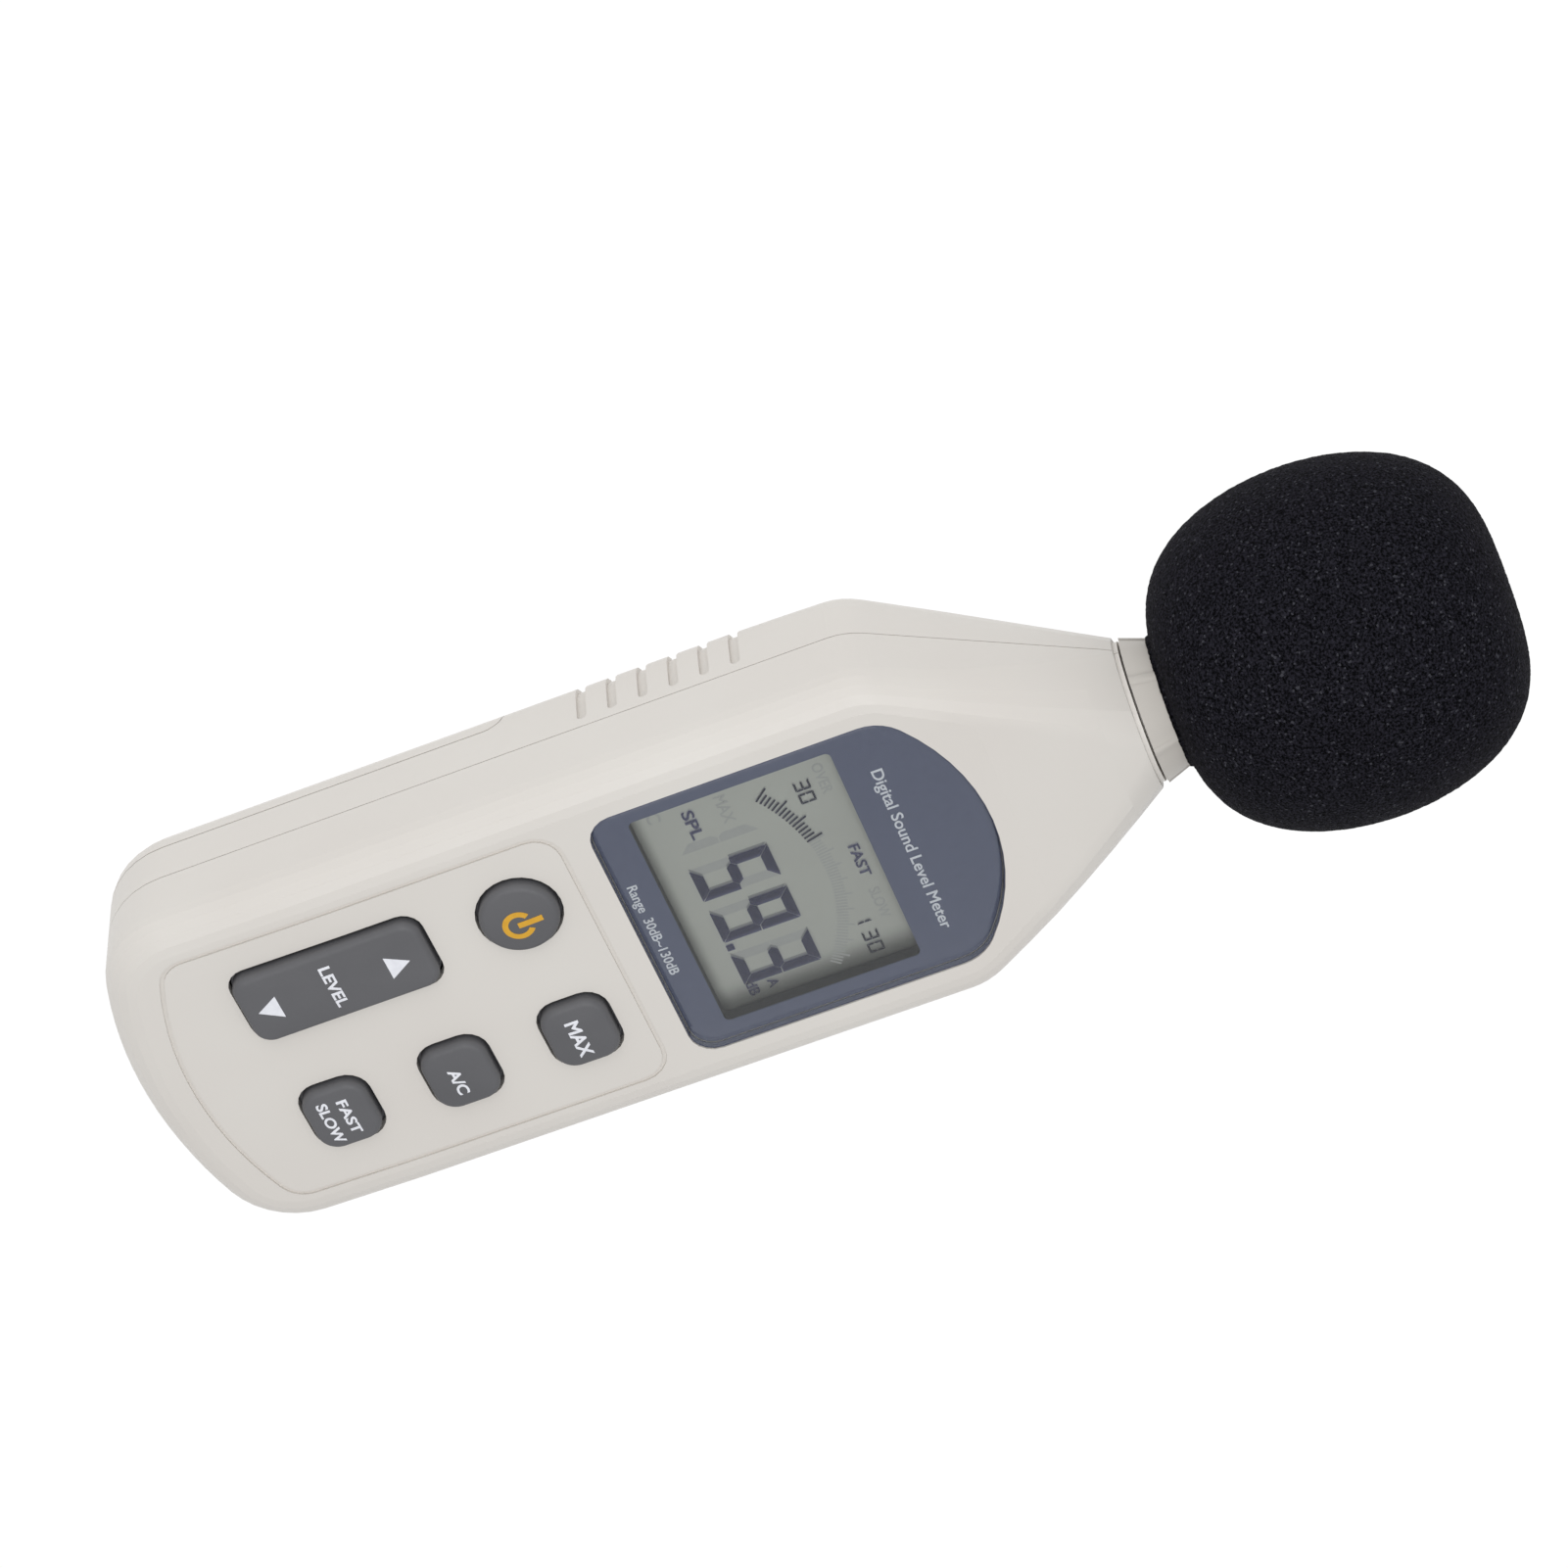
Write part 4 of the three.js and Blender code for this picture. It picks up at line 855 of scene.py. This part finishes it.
def ticks(name, first, last, count, v):
    # scale marks on an arc, every fifth one longer, at angles in degrees from straight up
    bars = []
    for step in range(count):
        turn = first + (last - first) * step / (count - 1)
        length = v["tick"] * (v["longTick"] if step % 5 == 0 else 1)
        x = v["x"] + v["radius"] * math.sin(math.radians(turn))
        y = v["y"] + v["radius"] * math.cos(math.radians(turn))
        lean = math.radians(turn * v["lean"])
        along = Vector((math.sin(lean), math.cos(lean)))
        aside = Vector((along.y, -along.x)) * v["tickWidth"] / 2
        foot = Vector((x, y)) - along * v["tick"] / 2
        tip = foot + along * length
        bars.append(plate(f"{name}_{step}", [foot - aside, foot + aside, tip + aside, tip - aside]))
    return joined(name, bars)


arc = {
    "x": 1.7,
    "y": 1.5,
    "radius": 31.9,
    "tick": 2.0,
    "longTick": 1.5,
    "tickWidth": 0.34,
    "lean": 1.15,
    "live": (-35, -12.6, 16),
    "unlit": (-11.5, 36, 44),
}
scaleFigures = [
    (-17.0, 33.5, "3"),
    (-14.4, 33.5, "0"),
    (12.4, 33.3, "1"),
    (16.2, 33.3, "3"),
    (18.9, 33.3, "0"),
]
scaleFigureSize = (2.0, 2.7, 0.36, 0.04)
litWords = [
    ("word_fast", "FAST", (-1.4, 5.4, 37.4, 39.3)),
    ("word_spl", "SPL", (-18.8, -12.8, 14.6, 16.7)),
    ("word_a", "A", (19.0, 20.9, 15.3, 17.1)),
    ("word_db", "dB", (18.2, 21.2, 11.7, 13.6)),
]
faintWords = [
    ("word_slow", "SLOW", (8.4, 15.0, 37.4, 39.3)),
    ("word_max", "MAX", (-19.4, -13.6, 20.5, 22.6)),
    ("word_over", "OVER", (-19, -12.6, 37.4, 39.3)),
    ("word_c", "C", (-20.6, -18.4, 9.0, 11.4)),
]


def display():
    low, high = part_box("lcd_glass")
    backZ = high.z - lcd["backDrop"] * mm
    inkZ = backZ + lcd["inkLift"] * mm
    ghostZ = backZ + lcd["ghostLift"] * mm
    deselect()
    middle = (low + high) / 2
    bpy.ops.mesh.primitive_cube_add(size=1, location=(middle.x, middle.y, (low.z + backZ) / 2))
    back = named("lcd_back")
    back.scale = (high.x - low.x, high.y - low.y, backZ - low.z)
    fixPlace(back)
    edge = back.modifiers.new("edge", "BEVEL")
    edge.width = 0.15 * mm
    edge.segments = 2
    applyModifiers(back)
    give(back, finishes["lcd"])
    seat(back, "lcd_glass")
    digits = []
    dark = []
    scale = []
    ghosts = []
    size = (lcd["digitWidth"], lcd["digitHigh"] - lcd["digitLow"], lcd["bar"], lcd["barGap"])
    for place, shown in zip(lcd["digitLeft"], lcd["reading"]):
        rest = "".join(sorted(set("abcdefg") - set(sevenBars[shown])))
        digits.append(figure("figure_" + shown, sevenBars[shown], place, lcd["digitLow"], *size))
        ghosts.append(figure("rest_" + shown, rest, place, lcd["digitLow"], *size))
    ghosts.append(figure("rest_lead", "bc", lcd["leadDigitLeft"], lcd["digitLow"], *size))
    for left, low, shown in scaleFigures:
        scale.append(figure(f"scale_{shown}_{left}", sevenBars[shown], left, low, *scaleFigureSize))
    for name, words, (left, right, bottom, top) in litWords:
        dark.append(letters(name, words, left, right, bottom, top, 0))
    dark.append(plate("point", lcd["point"]))
    scale.append(ticks("arc_live", *arc["live"], arc))
    ghosts.append(ticks("arc_rest", *arc["unlit"], arc))
    for name, words, (left, right, bottom, top) in faintWords:
        ghosts.append(letters(name, words, left, right, bottom, top, 0))
    # painted shadow: copies of the lit digits, shifted and laid just over the reflector in a darker grey
    shadow = joined("lcd_shadows", [copyOf(digit, "shadow") for digit in digits])
    inked = joined("lcd_segments", digits + dark)
    fine = joined("lcd_fine", scale)
    shift = Vector((*lcd["shadowShift"], 0)) * mm
    shadow.data.transform(Matrix.Translation(shift))
    faint = joined("lcd_ghosts", ghosts)
    layers = [
        (inked, darkSegment, inkZ),
        (fine, fineSegment, inkZ),
        (shadow, segmentShadow, backZ + lcd["shadowLift"] * mm),
        (faint, ghostSegment, ghostZ),
    ]
    for piece, finish, z in layers:
        give(piece, finish)
        piece.data.transform(Matrix.Translation((0, 0, z)))
        seat(piece, "lcd_glass", stands=False)


display()


window = {
    "halfX": 22.3,
    "low": 6.55,
    "high": 41.65,
    "corner": 1.0,
    "wall": 0.35,
    "footGap": 0.04,
    "topGap": 0.02,
}


def windowLiner(v):
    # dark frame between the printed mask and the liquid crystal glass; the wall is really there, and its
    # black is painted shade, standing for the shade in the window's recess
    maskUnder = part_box("display_mask")[0].z
    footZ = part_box("lcd_glass")[1].z + v["footGap"] * mm
    deselect()
    bpy.ops.mesh.primitive_plane_add(size=1, location=(0, (v["low"] + v["high"]) / 2 * mm, footZ))
    liner = named("window_liner")
    liner.scale = (2 * (v["halfX"] + v["wall"]) * mm, (v["high"] - v["low"] + 2 * v["wall"]) * mm, 1)
    fixPlace(liner)
    bpy.ops.object.mode_set(mode="EDIT")
    bpy.ops.mesh.select_all(action="SELECT")
    bpy.ops.mesh.bevel(offset=(v["corner"] + v["wall"]) * mm, segments=8, affect="VERTICES")
    bpy.ops.mesh.select_all(action="SELECT")
    bpy.ops.mesh.inset(thickness=v["wall"] * mm, depth=0)
    bpy.ops.mesh.delete(type="FACE")
    bpy.ops.mesh.select_all(action="SELECT")
    rise = maskUnder - v["topGap"] * mm - footZ
    bpy.ops.mesh.extrude_region_move(TRANSFORM_OT_translate={"value": (0, 0, rise)})
    bpy.ops.mesh.select_all(action="SELECT")
    bpy.ops.mesh.normals_make_consistent(inside=False)
    bpy.ops.object.mode_set(mode="OBJECT")
    bpy.ops.object.shade_smooth_by_angle(angle=math.radians(30))
    give(liner, linerPlastic)
    seat(liner, "display_mask", stands=False)


windowLiner(window)
print("display ready")


# windscreen: a turned foam ball
ball = {
    "flatRadius": 11.55,
    "blunt": 0.606,
    "bore": 7.05,
    "recess": 11.3,
    "recessEnd": 0.5,
    "step": 0.46,
    "turns": 420,
    "points": 120,
    "innerRoom": 0.6,
    "merge": 0.004,
    "roughness": 0.24,
    "grain": 0.7,
    "crumbMiddle": 0.62,
}


def windscreen(v):
    low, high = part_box("windscreen")
    radius = (high.x - low.x) / 2 / mm
    axisZ = (high.z + low.z) / 2
    startY, endY = low.y / mm, high.y / mm
    half = (endY - startY) / 2
    belly = startY + half
    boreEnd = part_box("mic_grille")[1].y / mm + v["innerRoom"]
    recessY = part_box("mic_collar")[1].y / mm + v["recessEnd"]
    outline = [(0, boreEnd), (v["bore"], boreEnd), (v["bore"], recessY)]
    outline += [(v["recess"], recessY), (v["recess"], startY)]
    startAngle = math.pi - math.asin((v["flatRadius"] / radius) ** (1 / v["blunt"]))
    for i in range(v["points"] + 1):
        a = startAngle * (1 - i / v["points"])
        across = radius * math.sin(a) ** v["blunt"] if i < v["points"] else 0
        outline.append((across, belly + half * math.cos(a)))
    dense = [outline[0]]
    for (r0, y0), (r1, y1) in zip(outline, outline[1:]):
        cuts = max(1, round(math.hypot(r1 - r0, y1 - y0) / v["step"]))
        for k in range(1, cuts + 1):
            dense.append((r0 + (r1 - r0) * k / cuts, y0 + (y1 - y0) * k / cuts))
    # a ring of points is opened between its ends and laid along the outline
    deselect()
    bpy.ops.mesh.primitive_circle_add(vertices=len(dense), radius=mm)
    foamBall = named("foam_ball")
    for vertex, (r, y) in zip(foamBall.data.vertices, dense):
        vertex.co = Vector((r * mm, y * mm, axisZ))
    ends = {0, len(dense) - 1}
    bpy.ops.object.mode_set(mode="EDIT")
    bpy.ops.mesh.select_mode(type="EDGE")
    bpy.ops.mesh.select_all(action="DESELECT")
    shape = bmesh.from_edit_mesh(foamBall.data)
    for edge in shape.edges:
        edge.select_set({vertex.index for vertex in edge.verts} == ends)
    bmesh.update_edit_mesh(foamBall.data)
    bpy.ops.mesh.delete(type="EDGE_FACE")
    bpy.ops.mesh.select_all(action="SELECT")
    bpy.ops.mesh.spin(steps=v["turns"], angle=2 * math.pi, center=(0, 0, axisZ), axis=(0, 1, 0))
    bpy.ops.mesh.select_all(action="SELECT")
    bpy.ops.mesh.remove_doubles(threshold=v["merge"] * mm)
    bpy.ops.mesh.normals_make_consistent(inside=False)
    bpy.ops.object.mode_set(mode="OBJECT")
    grain = bpy.data.textures.new("foam_grain", "CLOUDS")
    grain.noise_scale = v["grain"] * mm
    grain.noise_depth = 1
    crumb = foamBall.modifiers.new("crumb", "DISPLACE")
    crumb.texture = grain
    crumb.texture_coords = "LOCAL"
    crumb.strength = v["roughness"] * mm
    crumb.mid_level = v["crumbMiddle"]
    applyModifiers(foamBall)
    bpy.ops.object.shade_smooth()
    give(foamBall, finishes["foam"])
    seat(foamBall, "windscreen")


windscreen(ball)
print("windscreen ready")
